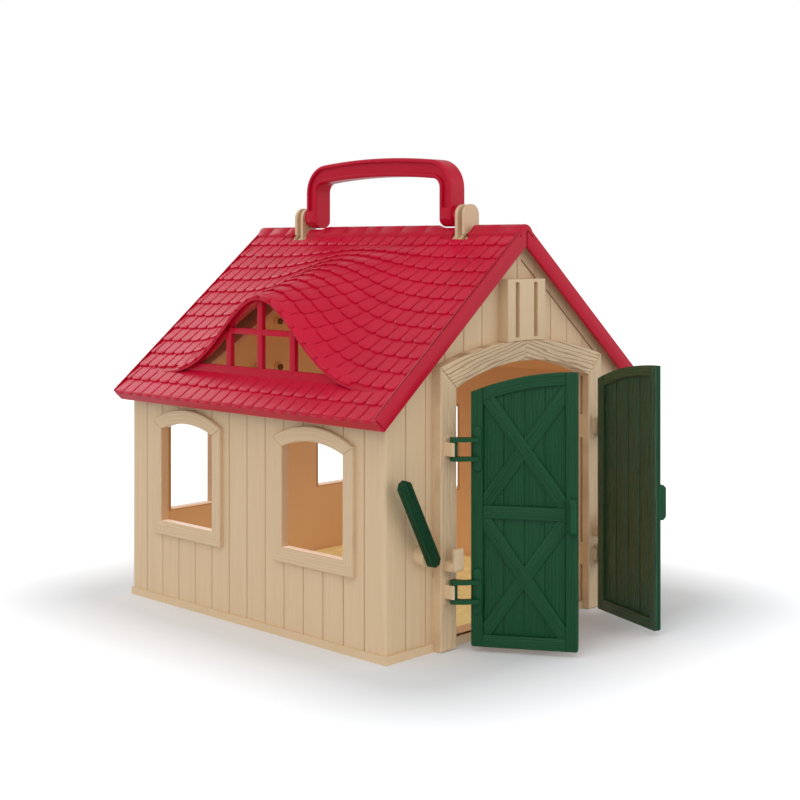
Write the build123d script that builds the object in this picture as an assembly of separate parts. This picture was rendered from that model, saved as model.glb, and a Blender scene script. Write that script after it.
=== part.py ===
from build123d import *
import math
import os

os.makedirs("parts", exist_ok=True)

# Sizes of the house body, in mm. X runs along the front, Y runs back, Z is up.
house_width = 242.0
house_length = 250.0
wall_thickness = 3.0
plank_pitch = 18.0
gable_plank_pitch = 17.2
groove_width = 0.9
groove_depth = 0.6
pan_height = 5.0
pan_front = 2.0
pan_side = 1.0
corner_radius = 2.0
straw_thickness = 1.5
straw_front_setback = 12.0
straw_margin = 3.0

# Sizes of the windows
window_width = 55.4
window_sill_z = 56.5
window_spring_z = 119.6
window_peak_z = 125.0
window_border = 8.6
window_border_low = 9.3
window_border_top = 9.2
window_shoulder_rise = 5.4
window_proud = 3.0
sleeve_wall = 1.8
sleeve_clearance = 0.1
window_inset_front = 60.4
window_inset_rear = 64.5
back_window_width = 37.4
back_window_inset = 49.5

# Sizes of the doorway
door_half = 66.2
door_spring_z = 158.3
door_peak_z = 171.3
frame_width = 14.1
frame_top = 13.2
frame_proud = 7.5
frame_foot_gap = 0.3
door_sleeve = 3.9
jamb_slot_depth = 1.2
jamb_slot_gap = 7.4
vent_half = 18.5
vent_height = 39.0
vent_proud = 8.0
vent_slot_x = 9.2
vent_slot_width = 3.8
vent_slot_floor = 1.5
vent_slot_margin = 2.0
vent_foot = 8.0
gable_groove_width = 1.2

# Sizes of the roof
slope = 0.832
apex_z = 258.2
eave_overhang = 16.1
front_overhang = 8.4
back_overhang = 1.0
course_count = 13
cap_cover = 4.5
course_step = 1.1
shell_thickness = 3.3
liner_thickness = 3.2
liner_setback = 7.0
rake_drop = 14.0
rake_front = 2.4
rake_back = 3.0
eave_lean = 6.9
eave_flat = 1.7
eave_drop = 6.83
split_gap = 0.2
lift_clearance = 0.4
cap_rise = 0.4
cap_half = 6.85
cap_radius = 4.4
cap_joint_pitch = 20.8
cap_joint_count = 6
cap_joint_width = 0.8
cap_joint_depth = 0.5

# Sizes of the dormer
dormer_y = -5.6
dormer_rise = 0.508
dormer_spread = 32.3
dormer_setback = 17.9
dormer_window_setback = 4.0
dormer_frame_depth = 3.0
dormer_skin = 3.0
dormer_frame_edge = 2.3
dormer_sill_rise = 3.35
dormer_steps = 20
mullion_pitch = 31.5
mullion_width = 5.4
transom_rise = 21.2

# Sizes of the carrying handle and the ridge pins
pivot_rise = 7.0
handle_y = -2.2
handle_outer = 71.4
handle_inner = 60.9
handle_rise = 40.5
handle_crown = 4.7
handle_bar = 12.8
handle_corner = 14.0
handle_inner_corner = 5.0
leg_radius = 7.6
handle_chamfer = 1.2
channel_rim = 2.2
channel_depth = 2.0
channel_foot = 4.5
hub_radius = 6.0
hub_length = 3.5
pin_radius = 2.2
running_fit = 0.08
tongue_half = 7.2
tongue_thickness = 2.4
tongue_gap = 3.8
tongue_start = 75.3
tongue_room_x = 2.9
tongue_room_y = 3.0
recess_drop = 1.4
recess_start = 58.9
recess_slope = 4.1

# Sizes of the doors, drawn closed and then turned to where the photo has them
pin_offset_x = 7.7
pin_offset_y = 5.2
leaf_edge = 8.9
leaf_gap = 0.7
leaf_thickness = 4.6
leaf_face = 5.0
leaf_bottom_z = 3.4
leaf_top_gap = 1.65
stile_width = 7.3
rail_width = 7.6
mid_rail_z = 84.7
brace_width = 6.0
relief_depth = 1.2
inner_rim = 6.0
seam_start = 28.9
seam_pitch = 12.8
seam_count = 3
left_open_angle = 58.6
right_open_angle = 70.1
hinge_pin_radius = 1.7
clip_radius = 3.9
clip_height = 8.2
arm_thickness = 3.6
arm_radius = 3.8
arm_back_gap = 0.4
arm_end_gap = 0.3
hinge_heights = (37.0, 122.6)
strap_height = 27.0
strap_width = 5.0
strap_thickness = 1.6
pull_width = 4.2
pull_height = 22.0
pull_depth = 5.0
pull_z = 83.6

# Sizes of the latch bars and their hooks
latch_offset_x = 10.7
latch_z = 59.5
latch_angle = 118.0
latch_length = 55.4
latch_half = 4.75
latch_clip = 2.8
latch_set_back = 8.4
latch_thickness = 4.5
boss_radius = 6.0
stub_radius = 2.6
latch_clearance = 0.3
hook_width = 8.5
hook_inset = 2.3
hook_drop = 12.5
hook_shelf_drop = 5.9
hook_rise = 3.5

# Sizes of the screws
screw_shank = 1.2
screw_head = 2.4
screw_head_height = 1.2
boss_outer = 3.6
boss_height = 3.0
back_boss_x = 10.5
back_boss_heights = (152.0, 187.0)
roof_screw_x = 22.0
roof_screw_inset_x = 25.0
roof_screw_inset_front = 25.4
roof_screw_inset_back = 20.0

# Sizes that follow from those above
beyond = 20.0
half_width = house_width / 2
half_length = house_length / 2
gable_half = half_width - wall_thickness
front_y = -half_length
back_y = half_length
frame_y = front_y - frame_proud
tilt = math.atan(slope)
side_window_front_y = front_y + window_inset_front
side_window_rear_y = back_y - window_inset_rear
back_window_x = half_width - back_window_inset
frame_half = door_half + frame_width
frame_spring_z = door_spring_z + frame_top
frame_peak_z = door_peak_z + frame_top
vent_top_z = frame_peak_z + vent_height
roof_half_width = half_width + eave_overhang
course_pitch = (roof_half_width - cap_cover) / course_count
roof_front_y = front_y - front_overhang
roof_back_y = back_y + back_overhang
ridge_top_z = apex_z + cap_rise
pivot_z = apex_z + pivot_rise
recess_z = ridge_top_z - recess_drop - cap_rise
handle_top_z = pivot_z + handle_rise
handle_shoulder_z = handle_top_z - handle_crown
dormer_start_x = roof_half_width - (course_count - 1) * course_pitch
dormer_front_x = roof_half_width - dormer_setback
dormer_plane_x = dormer_front_x - dormer_window_setback
dormer_sill_z = apex_z - slope * dormer_plane_x + dormer_sill_rise
transom_low_z = dormer_sill_z + transom_rise
transom_high_z = transom_low_z + mullion_width
outer_start = tongue_start + tongue_thickness + tongue_gap
outer_end = outer_start + tongue_thickness
pin_x = door_half + pin_offset_x
pin_y = frame_y - pin_offset_y
leaf_width = pin_x - leaf_edge - leaf_gap
leaf_spring_z = door_spring_z - leaf_top_gap
leaf_peak_z = door_peak_z - leaf_top_gap
latch_x = frame_half + latch_offset_x
latch_back_y = front_y - latch_set_back
hook_outer_x = frame_half - hook_inset
hook_inner_x = hook_outer_x - hook_width
hook_bottom_z = latch_z - hook_drop
hook_shelf_z = latch_z - hook_shelf_drop
hook_top_z = latch_z + hook_rise


def roof_z(x, drop):
    return apex_z - slope * abs(x) - drop


def face_xz(points, y):
    """Flat face from points in X and Z, standing at one Y."""
    return make_face(Polyline([(x, y, z) for x, z in points], close=True))


def slab_xz(points, y_low, y_high):
    """Points in X and Z, pushed from one Y to another."""
    return extrude(face_xz(points, y_low), amount=y_high - y_low, dir=(0, 1, 0))


def slab_xy(points, z_low, z_high):
    face = make_face(Polyline([(x, y, z_low) for x, y in points], close=True))
    return extrude(face, amount=z_high - z_low, dir=(0, 0, 1))


def slab_yz(points, x_low, x_high):
    face = make_face(Polyline([(x_low, y, z) for y, z in points], close=True))
    return extrude(face, amount=x_high - x_low, dir=(1, 0, 0))


def block(x_low, x_high, y_low, y_high, z_low, z_high):
    size = (x_high - x_low, y_high - y_low, z_high - z_low)
    middle = ((x_low + x_high) / 2, (y_low + y_high) / 2, (z_low + z_high) / 2)
    return Pos(*middle) * Box(*size)


def rod_y(x, z, radius, y_low, y_high):
    return Pos(x, (y_low + y_high) / 2, z) * Rot(90, 0, 0) * Cylinder(radius, y_high - y_low)


def rod_z(x, y, radius, z_low, z_high):
    return Pos(x, y, (z_low + z_high) / 2) * Cylinder(radius, z_high - z_low)


def prism_y(x, z, radius, y_low, y_high, sides=12):
    """Many-sided stand-in for a small round boss or head, lying along Y."""
    points = []
    for index in range(sides):
        angle = 2 * math.pi * index / sides
        points.append((x + radius * math.cos(angle), z + radius * math.sin(angle)))
    return slab_xz(points, y_low, y_high)


def prism_z(x, y, radius, z_low, z_high):
    points = []
    for index in range(12):
        angle = math.radians(30 * index)
        points.append((x + radius * math.cos(angle), y + radius * math.sin(angle)))
    return slab_xy(points, z_low, z_high)


def arch_face(centre, half, bottom_z, spring_z, peak_z):
    """Arched outline in a flat drawing plane, across then up."""
    left = (centre - half, bottom_z)
    right = (centre + half, bottom_z)
    left_top = (centre - half, spring_z)
    right_top = (centre + half, spring_z)
    edges = [
        Line(left, right),
        Line(right, right_top),
        ThreePointArc(right_top, (centre, peak_z), left_top),
        Line(left_top, left),
    ]
    return make_face(Curve() + edges)


front_plane = Plane(origin=(0, 0, 0), x_dir=(1, 0, 0), z_dir=(0, -1, 0))
side_plane = Plane(origin=(0, 0, 0), x_dir=(0, 1, 0), z_dir=(1, 0, 0))


def arch_along_y(centre, half, bottom_z, spring_z, peak_z, y_low, y_high):
    face = front_plane * arch_face(centre, half, bottom_z, spring_z, peak_z)
    return extrude(Pos(0, y_high, 0) * face, amount=y_high - y_low, dir=(0, -1, 0))


def arch_along_x(centre, half, bottom_z, spring_z, peak_z, x_low, x_high):
    face = side_plane * arch_face(centre, half, bottom_z, spring_z, peak_z)
    return extrude(Pos(x_low, 0, 0) * face, amount=x_high - x_low, dir=(1, 0, 0))


def mirror_x(shape):
    return mirror(shape, about=Plane.YZ)


# Floor pan with the straw mat laid on it
floor_pan = block(
    -half_width - pan_side, half_width + pan_side, front_y - pan_front, back_y, 0, pan_height,
)
straw_floor = block(
    -gable_half + straw_margin, gable_half - straw_margin,
    front_y + wall_thickness + straw_front_setback, back_y - wall_thickness - straw_margin,
    pan_height, pan_height + straw_thickness,
)


def grooved_edge(start, end, fixed, inward, pitch, along_x):
    """Outline points along one wall face, with a small notch at every plank joint."""
    points = []
    count = int((end - start) / pitch)
    first = (start + end) / 2 - (count - 1) / 2 * pitch
    for index in range(count):
        middle = first + index * pitch
        for offset, depth in ((-groove_width / 2, 0), (0, groove_depth), (groove_width / 2, 0)):
            place = (middle + offset, fixed + inward * depth)
            points.append(place if along_x else (place[1], place[0]))
    return points


def wall_corner(side, end_y, inward):
    """Rounded upright corner of a long wall, from its end face to its outer face."""
    points = []
    for angle in (90, 45, 0):
        turn = math.radians(angle)
        x = half_width - corner_radius * (1 - math.cos(turn))
        y = end_y + inward * corner_radius * (1 - math.sin(turn))
        points.append((side * x, y))
    return points


# Long side walls, planked outside, with their tops following the roof
def long_wall(side, gap):
    outer = side * half_width
    inner = side * (half_width - wall_thickness)
    notches = grooved_edge(front_y, back_y, outer, -side, plank_pitch, False)
    outline = [(inner, front_y)] + wall_corner(side, front_y, 1) + notches
    outline += wall_corner(side, back_y, -1)[::-1] + [(inner, back_y)]
    wall = slab_xy(outline, pan_height, apex_z)
    top_drop = shell_thickness + liner_thickness + gap
    cap = slab_xz(
        [(outer + side, roof_z(outer + side, top_drop)), (inner - side, roof_z(inner - side, top_drop)),
         (inner - side, apex_z + 1), (outer + side, apex_z + 1)],
        front_y - 1, back_y + 1,
    )
    wall -= cap
    x_low = min(outer, inner) - 1
    x_high = max(outer, inner) + 1
    for centre in (side_window_front_y, side_window_rear_y):
        hole = sleeve_wall + sleeve_clearance
        wall -= arch_along_x(
            centre, window_width / 2 + hole, window_sill_z - hole,
            window_spring_z + hole, window_peak_z + hole, x_low, x_high,
        )
    return wall


left_wall = long_wall(-1, lift_clearance)
right_wall = long_wall(1, 0.0)


def side_window(side, centre):
    """Arched window frame: a flange outside the wall and a sleeve through it."""
    outer = side * half_width
    inner = side * (half_width - wall_thickness)
    face = side * (half_width + window_proud)
    flange = arch_along_x(
        centre, window_width / 2 + window_border, window_sill_z - window_border_low,
        window_spring_z + window_shoulder_rise, window_peak_z + window_border_top, min(outer, face), max(outer, face),
    )
    sleeve = arch_along_x(
        centre, window_width / 2 + sleeve_wall, window_sill_z - sleeve_wall,
        window_spring_z + sleeve_wall, window_peak_z + sleeve_wall, min(outer, inner), max(outer, inner),
    )
    opening = arch_along_x(
        centre, window_width / 2, window_sill_z, window_spring_z, window_peak_z,
        min(face, inner) - 1, max(face, inner) + 1,
    )
    return flange + sleeve - opening


def back_window(centre):
    inner = back_y - wall_thickness
    flange = arch_along_y(
        centre, back_window_width / 2 + window_border, window_sill_z - window_border_low,
        window_spring_z + window_shoulder_rise, window_peak_z + window_border_top, back_y, back_y + window_proud,
    )
    sleeve = arch_along_y(
        centre, back_window_width / 2 + sleeve_wall, window_sill_z - sleeve_wall,
        window_spring_z + sleeve_wall, window_peak_z + sleeve_wall, inner, back_y,
    )
    opening = arch_along_y(
        centre, back_window_width / 2, window_sill_z, window_spring_z, window_peak_z,
        inner - 1, back_y + window_proud + 1,
    )
    return flange + sleeve - opening


# Gable ends between the long walls
def gable(y_outer, y_inner, outward):
    low = min(y_outer, y_inner)
    high = max(y_outer, y_inner)
    notches = grooved_edge(-gable_half, gable_half, y_outer, -outward, gable_plank_pitch, True)
    outline = [(-gable_half, y_inner), (-gable_half, y_outer)] + notches
    outline += [(gable_half, y_outer), (gable_half, y_inner)]
    wall = slab_xy(outline, pan_height, apex_z)
    left_drop = shell_thickness + liner_thickness + lift_clearance
    right_drop = shell_thickness + liner_thickness
    profile = [
        (-gable_half, pan_height), (gable_half, pan_height),
        (gable_half, roof_z(gable_half, right_drop)), (0.2, roof_z(0.2, right_drop)),
        (-0.2, roof_z(0.2, left_drop)), (-gable_half, roof_z(gable_half, left_drop)),
    ]
    return wall & slab_xz(profile, low - 1, high + 1)


front_gable = gable(front_y, front_y + wall_thickness, -1)
front_gable -= arch_along_y(
    0, door_half + door_sleeve + sleeve_clearance, -10, door_spring_z + door_sleeve + sleeve_clearance,
    door_peak_z + door_sleeve + sleeve_clearance, front_y - 2, front_y + wall_thickness + 2,
)
vent = block(-vent_half, vent_half, front_y - vent_proud, front_y, frame_peak_z - vent_foot, vent_top_z)
for sign in (-1, 1):
    middle = sign * vent_slot_x
    vent -= block(
        middle - vent_slot_width / 2, middle + vent_slot_width / 2,
        front_y - vent_proud - 1, front_y - vent_slot_floor,
        frame_peak_z + vent_slot_margin, vent_top_z - vent_slot_margin,
    )
    front_gable += prism_y(sign * latch_x, latch_z, boss_radius, latch_back_y + latch_clearance, front_y, 16)
vent -= arch_along_y(
    0, frame_half, -10, frame_spring_z + sleeve_clearance, frame_peak_z + sleeve_clearance,
    front_y - vent_proud - 1, front_y,
)
front_gable += vent
for sign in (-1, 1):
    front_gable -= rod_y(sign * latch_x, latch_z, stub_radius + running_fit, latch_back_y - 1, front_y + 2)



def gable_groove(start, end):
    """Shallow groove along a sloping line on the front gable, from its points in X and Z."""
    run = math.atan2(end[1] - start[1], end[0] - start[0])
    length = math.hypot(end[0] - start[0], end[1] - start[1])
    middle = ((start[0] + end[0]) / 2, front_y, (start[1] + end[1]) / 2)
    return Pos(*middle) * Rot(0, -math.degrees(run), 0) * Box(length, 2 * groove_depth, gable_groove_width)


for sign in (-1, 1):
    for start_x, end_x, low in ((3.8, 20.2, 19.3), (29.6, 85.5, 17.6)):
        start = (sign * start_x, roof_z(start_x, low))
        end = (sign * end_x, roof_z(end_x, low))
        front_gable -= gable_groove(start, end)

back_gable = gable(back_y, back_y - wall_thickness, 1)
for sign in (-1, 1):
    hole = sleeve_wall + sleeve_clearance
    back_gable -= arch_along_y(
        sign * back_window_x, back_window_width / 2 + hole, window_sill_z - hole,
        window_spring_z + hole, window_peak_z + hole, back_y - wall_thickness - 1, back_y + 1,
    )
back_screws = []
for sign in (-1, 1):
    for height in back_boss_heights:
        inner = back_y - wall_thickness
        back_gable += prism_y(sign * back_boss_x, height, boss_outer, inner - boss_height, inner)
        back_gable -= prism_y(sign * back_boss_x, height, screw_shank, inner - boss_height - 1, inner + 1)
        screw = prism_y(sign * back_boss_x, height, screw_shank, inner - boss_height, inner + 0.8)
        tip = inner - boss_height
        screw += prism_y(sign * back_boss_x, height, screw_head, tip - screw_head_height, tip)
        back_screws.append(screw)


# Door frame with its hinge clips and latch hooks moulded on
door_frame = arch_along_y(0, frame_half, frame_foot_gap, frame_spring_z, frame_peak_z, frame_y, front_y)
door_frame -= arch_along_y(0, door_half, -5, door_spring_z, door_peak_z, frame_y - 1, front_y + 5)
door_frame += (
    arch_along_y(
        0, door_half + door_sleeve, pan_height, door_spring_z + door_sleeve, door_peak_z + door_sleeve,
        front_y, front_y + wall_thickness,
    )
    - arch_along_y(0, door_half, -5, door_spring_z, door_peak_z, front_y - 1, front_y + 5)
)
door_frame -= block(
    -frame_half - 1, frame_half + 1, front_y - pan_front, front_y + 10, -1, pan_height,
)


def hinge_clip(side, height):
    """Open ring on a foot that holds the hinge pin."""
    low = height - clip_height / 2
    high = height + clip_height / 2
    centre = side * pin_x
    ring = prism_z(centre, pin_y, clip_radius, low, high)
    foot = block(centre - clip_radius + 0.2, centre + clip_radius - 0.2, pin_y, frame_y, low, high)
    ring += foot
    ring -= rod_z(centre, pin_y, hinge_pin_radius + running_fit, low - 1, high + 1)
    mouth = slab_xy(
        [(centre, pin_y), (centre - side * 9, pin_y - 4.0), (centre - side * 9, pin_y - 12), (centre, pin_y - 12)],
        low - 1, high + 1,
    )
    return ring - mouth


def latch_hook(side):
    inner = side * hook_inner_x
    outer = side * hook_outer_x
    x_low = min(inner, outer)
    x_high = max(inner, outer)
    lip_back = latch_back_y - latch_thickness - 1.0
    shelf = block(x_low, x_high, lip_back, frame_y, hook_bottom_z, hook_shelf_z)
    lip = block(x_low, x_high, lip_back - 2.6, lip_back, hook_bottom_z, hook_top_z)
    lip = chamfer(lip.edges().filter_by(Axis.Y).group_by(Axis.Z)[-1], 1.6)
    return shelf + lip


for sign in (-1, 1):
    for height in hinge_heights:
        door_frame += hinge_clip(sign, height)
    door_frame += latch_hook(sign)
    slot_start = pan_height - 0.7
    for height in hinge_heights + (door_spring_z + jamb_slot_gap - 0.5,):
        side_a = sign * (door_half - 1)
        side_b = sign * (door_half + jamb_slot_depth)
        door_frame -= block(
            min(side_a, side_b), max(side_a, side_b), frame_y + 0.5, frame_y + 3.0,
            slot_start, height - jamb_slot_gap,
        )
        slot_start = height + jamb_slot_gap


# Roof tile shells in stepped courses, with border boards and half the ridge cap
def course_profile(side):
    cut = shell_thickness / (eave_drop / eave_lean + slope)
    points = [(roof_half_width - cut, roof_z(roof_half_width - cut, shell_thickness))]
    for index in range(course_count):
        low_x = roof_half_width - index * course_pitch
        points.append((low_x, roof_z(low_x, 0)))
        points.append((low_x - course_pitch, roof_z(low_x - course_pitch, course_step)))
    points.append((split_gap, roof_z(split_gap, course_step)))
    points.append((split_gap, roof_z(split_gap, shell_thickness)))
    return [(side * x, z) for x, z in points]


def cap_profile(drop):
    """Upper outline of half the ridge cap in X and Z, from the ridge outwards."""
    points = [(split_gap, ridge_top_z - drop)]
    for angle in (15, 30, 45, 60):
        turn = math.radians(angle)
        points.append((cap_radius * math.sin(turn), ridge_top_z - cap_radius * (1 - math.cos(turn)) - drop))
    points.append((cap_half, roof_z(cap_half, drop)))
    return points


def cap_joints(side):
    """Thin cutters that mark where one ridge tile ends and the next begins."""
    low = [(side * x, z) for x, z in cap_profile(cap_joint_depth)]
    outline = [(0, low[0][1])] + low + [(side * (cap_half + 1), low[-1][1])]
    outline += [(side * (cap_half + 1), ridge_top_z + 1), (0, ridge_top_z + 1)]
    joints = []
    for end_y, step in ((roof_front_y + cap_joint_pitch, 1), (roof_back_y - cap_joint_pitch + 5, -1)):
        for index in range(cap_joint_count):
            y = end_y + step * index * cap_joint_pitch
            if abs(abs(y - handle_y) - (tongue_start + outer_end) / 2) > tongue_room_y + 8:
                joints.append(slab_xz(outline, y - cap_joint_width / 2, y + cap_joint_width / 2))
    return joints


def roof_shell(side):
    eave_x = roof_half_width - eave_lean
    eave_z = roof_z(roof_half_width, eave_drop)
    shell = slab_xz(course_profile(side), roof_front_y, roof_back_y)
    rake_top = [(split_gap, roof_z(split_gap, 0)), (roof_half_width, roof_z(roof_half_width, 0))]
    rake = rake_top + [
        (eave_x, eave_z), (eave_x - eave_flat, eave_z), (split_gap, roof_z(split_gap, rake_drop)),
    ]
    shell += slab_xz([(side * x, z) for x, z in rake], roof_front_y, roof_front_y + rake_front)
    drop = shell_thickness + liner_thickness
    cut = drop / (eave_drop / eave_lean + slope)
    back_rake = rake_top + [(roof_half_width - cut, roof_z(roof_half_width - cut, drop)), (split_gap, roof_z(split_gap, drop))]
    shell += slab_xz([(side * x, z) for x, z in back_rake], roof_back_y - rake_back, roof_back_y)
    inner_x = roof_half_width - eave_lean / 2
    eave = [
        (roof_half_width, roof_z(roof_half_width, 0)), (eave_x, eave_z), (eave_x - eave_flat, eave_z),
        (eave_x - eave_flat, eave_z + 2.3), (inner_x, roof_z(inner_x, shell_thickness / 2)),
    ]
    shell += slab_xz([(side * x, z) for x, z in eave], roof_front_y, roof_back_y)
    cap = cap_profile(0) + [(cap_half, roof_z(cap_half, 1.5)), (split_gap, roof_z(split_gap, 1.5))]
    shell += slab_xz([(side * x, z) for x, z in cap], roof_front_y - 0.6, roof_back_y + 0.5)
    for y_sign in (-1, 1):
        recess = [
            (handle_y + y_sign * (recess_start - recess_slope), ridge_top_z + 1),
            (handle_y + y_sign * (recess_start - recess_slope), ridge_top_z),
            (handle_y + y_sign * recess_start, recess_z), (handle_y + y_sign * tongue_start, recess_z),
            (handle_y + y_sign * tongue_start, ridge_top_z + 1),
        ]
        shell -= slab_yz(recess, -cap_half - 1, cap_half + 1)
    for joint in cap_joints(side):
        shell -= joint
    return shell


def tongue_notch(side, low, high, room, y_sign):
    y_a = handle_y + y_sign * low
    y_b = handle_y + y_sign * high
    x_a = side * -0.5
    x_b = side * (tongue_half + room)
    return block(min(x_a, x_b), max(x_a, x_b), min(y_a, y_b), max(y_a, y_b), apex_z - beyond, apex_z + beyond)


def roof_liner(side):
    outer = roof_half_width - liner_setback
    drop = shell_thickness + liner_thickness
    points = [
        (side * split_gap, roof_z(split_gap, shell_thickness)), (side * outer, roof_z(outer, shell_thickness)),
        (side * outer, roof_z(outer, drop)), (side * split_gap, roof_z(split_gap, drop)),
    ]
    return slab_xz(points, roof_front_y + rake_front + 0.2, roof_back_y - rake_back - 0.2)


def tongue(side, low, y_sign, moving):
    """One ear rising from a roof half, rounded about the ridge pivot."""
    y_a = handle_y + y_sign * low
    y_b = handle_y + y_sign * (low + tongue_thickness)
    y_low = min(y_a, y_b)
    y_high = max(y_a, y_b)
    drop = shell_thickness + liner_thickness
    foot = [
        (side * split_gap, roof_z(split_gap, drop)), (side * tongue_half, roof_z(tongue_half, drop)),
        (side * tongue_half, pivot_z), (side * split_gap, pivot_z),
    ]
    ear = slab_xz(foot, y_low, y_high)
    swing = pivot_z - roof_z(0, shell_thickness) - 0.3
    far_z = pivot_z - swing if moving else roof_z(0, drop - 1)
    ear += block(
        min(0, -side * tongue_half), max(0, -side * tongue_half), y_low, y_high, far_z, pivot_z,
    )
    ear += block(min(0, side * split_gap), max(0, side * split_gap), y_low, y_high, far_z, pivot_z)
    if moving:
        corner = block(
            min(0, -side * 9), max(0, -side * 9), y_low - 1, y_high + 1, far_z - 2, pivot_z,
        )
        ear -= corner - prism_y(0, pivot_z, swing, y_low - 2, y_high + 2, 24)
    ear += prism_y(0, pivot_z, tongue_half, y_low, y_high, 24)
    return ear


def pin_hole(y_sign):
    y_a = handle_y + y_sign * (tongue_start - 1)
    y_b = handle_y + y_sign * (outer_end - 0.8)
    return rod_y(0, pivot_z, pin_radius + running_fit, min(y_a, y_b), max(y_a, y_b))


def dormer_outline(x, drop, bottom_drop, reach, count):
    """Bell outline over the roof plane at one X, as points in Y and Z."""
    points = []
    for index in range(count + 1):
        offset = -reach + 2 * reach * index / count
        bell = math.exp(-(offset / dormer_spread) ** 2 / 2)
        points.append((dormer_y + offset, roof_z(x, drop) + dormer_rise * (x - dormer_start_x) * bell))
    points.append((dormer_y + reach, roof_z(x, bottom_drop)))
    points.append((dormer_y - reach, roof_z(x, bottom_drop)))
    return points


def dormer_loft(x_near, x_far, drop, bottom_drop, reach, count):
    faces = []
    for x in (x_near, x_far):
        outline = dormer_outline(x, drop, bottom_drop, reach, count)
        faces.append(make_face(Polyline([(-x, y, z) for y, z in outline], close=True)))
    return loft(faces, ruled=True)


roof_left_shell = roof_shell(-1)
hood_reach = 2.85 * dormer_spread
hollow_reach = 2.5 * dormer_spread
mouth_reach = 2.2 * dormer_spread
frame_reach = 2.35 * dormer_spread
well_wide = 1.85 * dormer_spread
well_narrow = 1.05 * dormer_spread
roof_left_shell += dormer_loft(dormer_start_x, dormer_front_x, 0.0, 2.2, hood_reach, dormer_steps)
roof_left_shell -= dormer_loft(
    dormer_start_x + 6, dormer_plane_x + 0.05, dormer_skin, beyond, hollow_reach, dormer_steps)
roof_left_shell -= dormer_loft(
    dormer_plane_x, dormer_front_x + 1, dormer_skin, 0.05, mouth_reach, dormer_steps)
roof_right_shell = roof_shell(1)
roof_left_liner = roof_liner(-1)
roof_right_liner = roof_liner(1)
for y_sign in (-1, 1):
    notch_low = tongue_start - tongue_room_y
    notch_high = outer_end + tongue_room_y
    roof_left_shell -= tongue_notch(-1, notch_low, notch_high, tongue_room_x, y_sign)
    roof_right_shell -= tongue_notch(1, notch_low, notch_high, tongue_room_x, y_sign)
    roof_left_liner -= tongue_notch(-1, outer_start - 0.4, outer_end + 0.4, 0.6, y_sign)
    roof_left_liner += tongue(-1, tongue_start, y_sign, True)
    roof_right_liner += tongue(1, outer_start, y_sign, False)
    roof_left_liner -= pin_hole(y_sign)
    roof_right_liner -= pin_hole(y_sign)
roof_left_liner -= slab_xy(
    [(-dormer_plane_x + 6, dormer_y - well_wide), (-dormer_plane_x + 6, dormer_y + well_wide),
     (-dormer_start_x - 23, dormer_y + well_narrow), (-dormer_start_x - 23, dormer_y - well_narrow)],
    pan_height, apex_z,
)

# Dormer window: a bell shaped frame with three upright bars and one cross bar
outline = dormer_outline(dormer_plane_x, dormer_skin + 0.1, 3.0, frame_reach, dormer_steps)
inner_line = dormer_outline(
    dormer_plane_x, dormer_skin + dormer_frame_edge, 3.0, frame_reach, dormer_steps)
plane_low = -dormer_plane_x
plane_high = -dormer_plane_x + dormer_frame_depth
bell_outer = slab_yz(outline, plane_low, plane_high)
bell_inner = slab_yz(inner_line, plane_low - 1, plane_high + 1)
above_sill = block(
    plane_low - 2, plane_high + 2, dormer_y - hood_reach, dormer_y + hood_reach, dormer_sill_z, apex_z,
)
dormer_window = bell_outer - (bell_inner & above_sill)
dormer_window -= slab_xz(
    [(plane_low - 1, roof_z(plane_low - 1, shell_thickness)), (plane_high + 1, roof_z(plane_high + 1, shell_thickness)),
     (plane_high + 1, pan_height), (plane_low - 1, pan_height)],
    dormer_y - hood_reach, dormer_y + hood_reach,
)
bars = []
for index in (-1, 0, 1):
    middle = dormer_y + index * mullion_pitch
    bars.append(block(
        plane_low, plane_high, middle - mullion_width / 2, middle + mullion_width / 2, dormer_sill_z - 1, apex_z,
    ))
bars.append(block(
    plane_low, plane_high, dormer_y - mullion_pitch, dormer_y + mullion_pitch, transom_low_z, transom_high_z,
))
for bar in bars:
    dormer_window += bar & bell_outer


def roof_screws(side):
    """Four screws holding each liner up against its tile shell."""
    screws = []
    holes = []
    for x in (roof_screw_x, roof_half_width - roof_screw_inset_x):
        for y in (roof_front_y + roof_screw_inset_front, roof_back_y - roof_screw_inset_back):
            place = Pos(side * x, y, roof_z(x, shell_thickness + liner_thickness))
            turn = Rot(0, side * math.degrees(tilt), 0)
            depth = liner_thickness * math.cos(tilt) + 1.4
            shank = extrude(RegularPolygon(screw_shank, 12), amount=depth)
            head = extrude(RegularPolygon(screw_head, 12), amount=-screw_head_height)
            screws.append(place * turn * (shank + head))
            bore = extrude(RegularPolygon(screw_shank, 12), amount=depth + 2)
            holes.append(place * turn * (Pos(0, 0, -2) * bore))
    return screws, holes


left_screws, left_holes = roof_screws(-1)
right_screws, right_holes = roof_screws(1)
for hole in left_holes:
    roof_left_shell -= hole
    roof_left_liner -= hole
for hole in right_holes:
    roof_right_shell -= hole
    roof_right_liner -= hole


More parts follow.
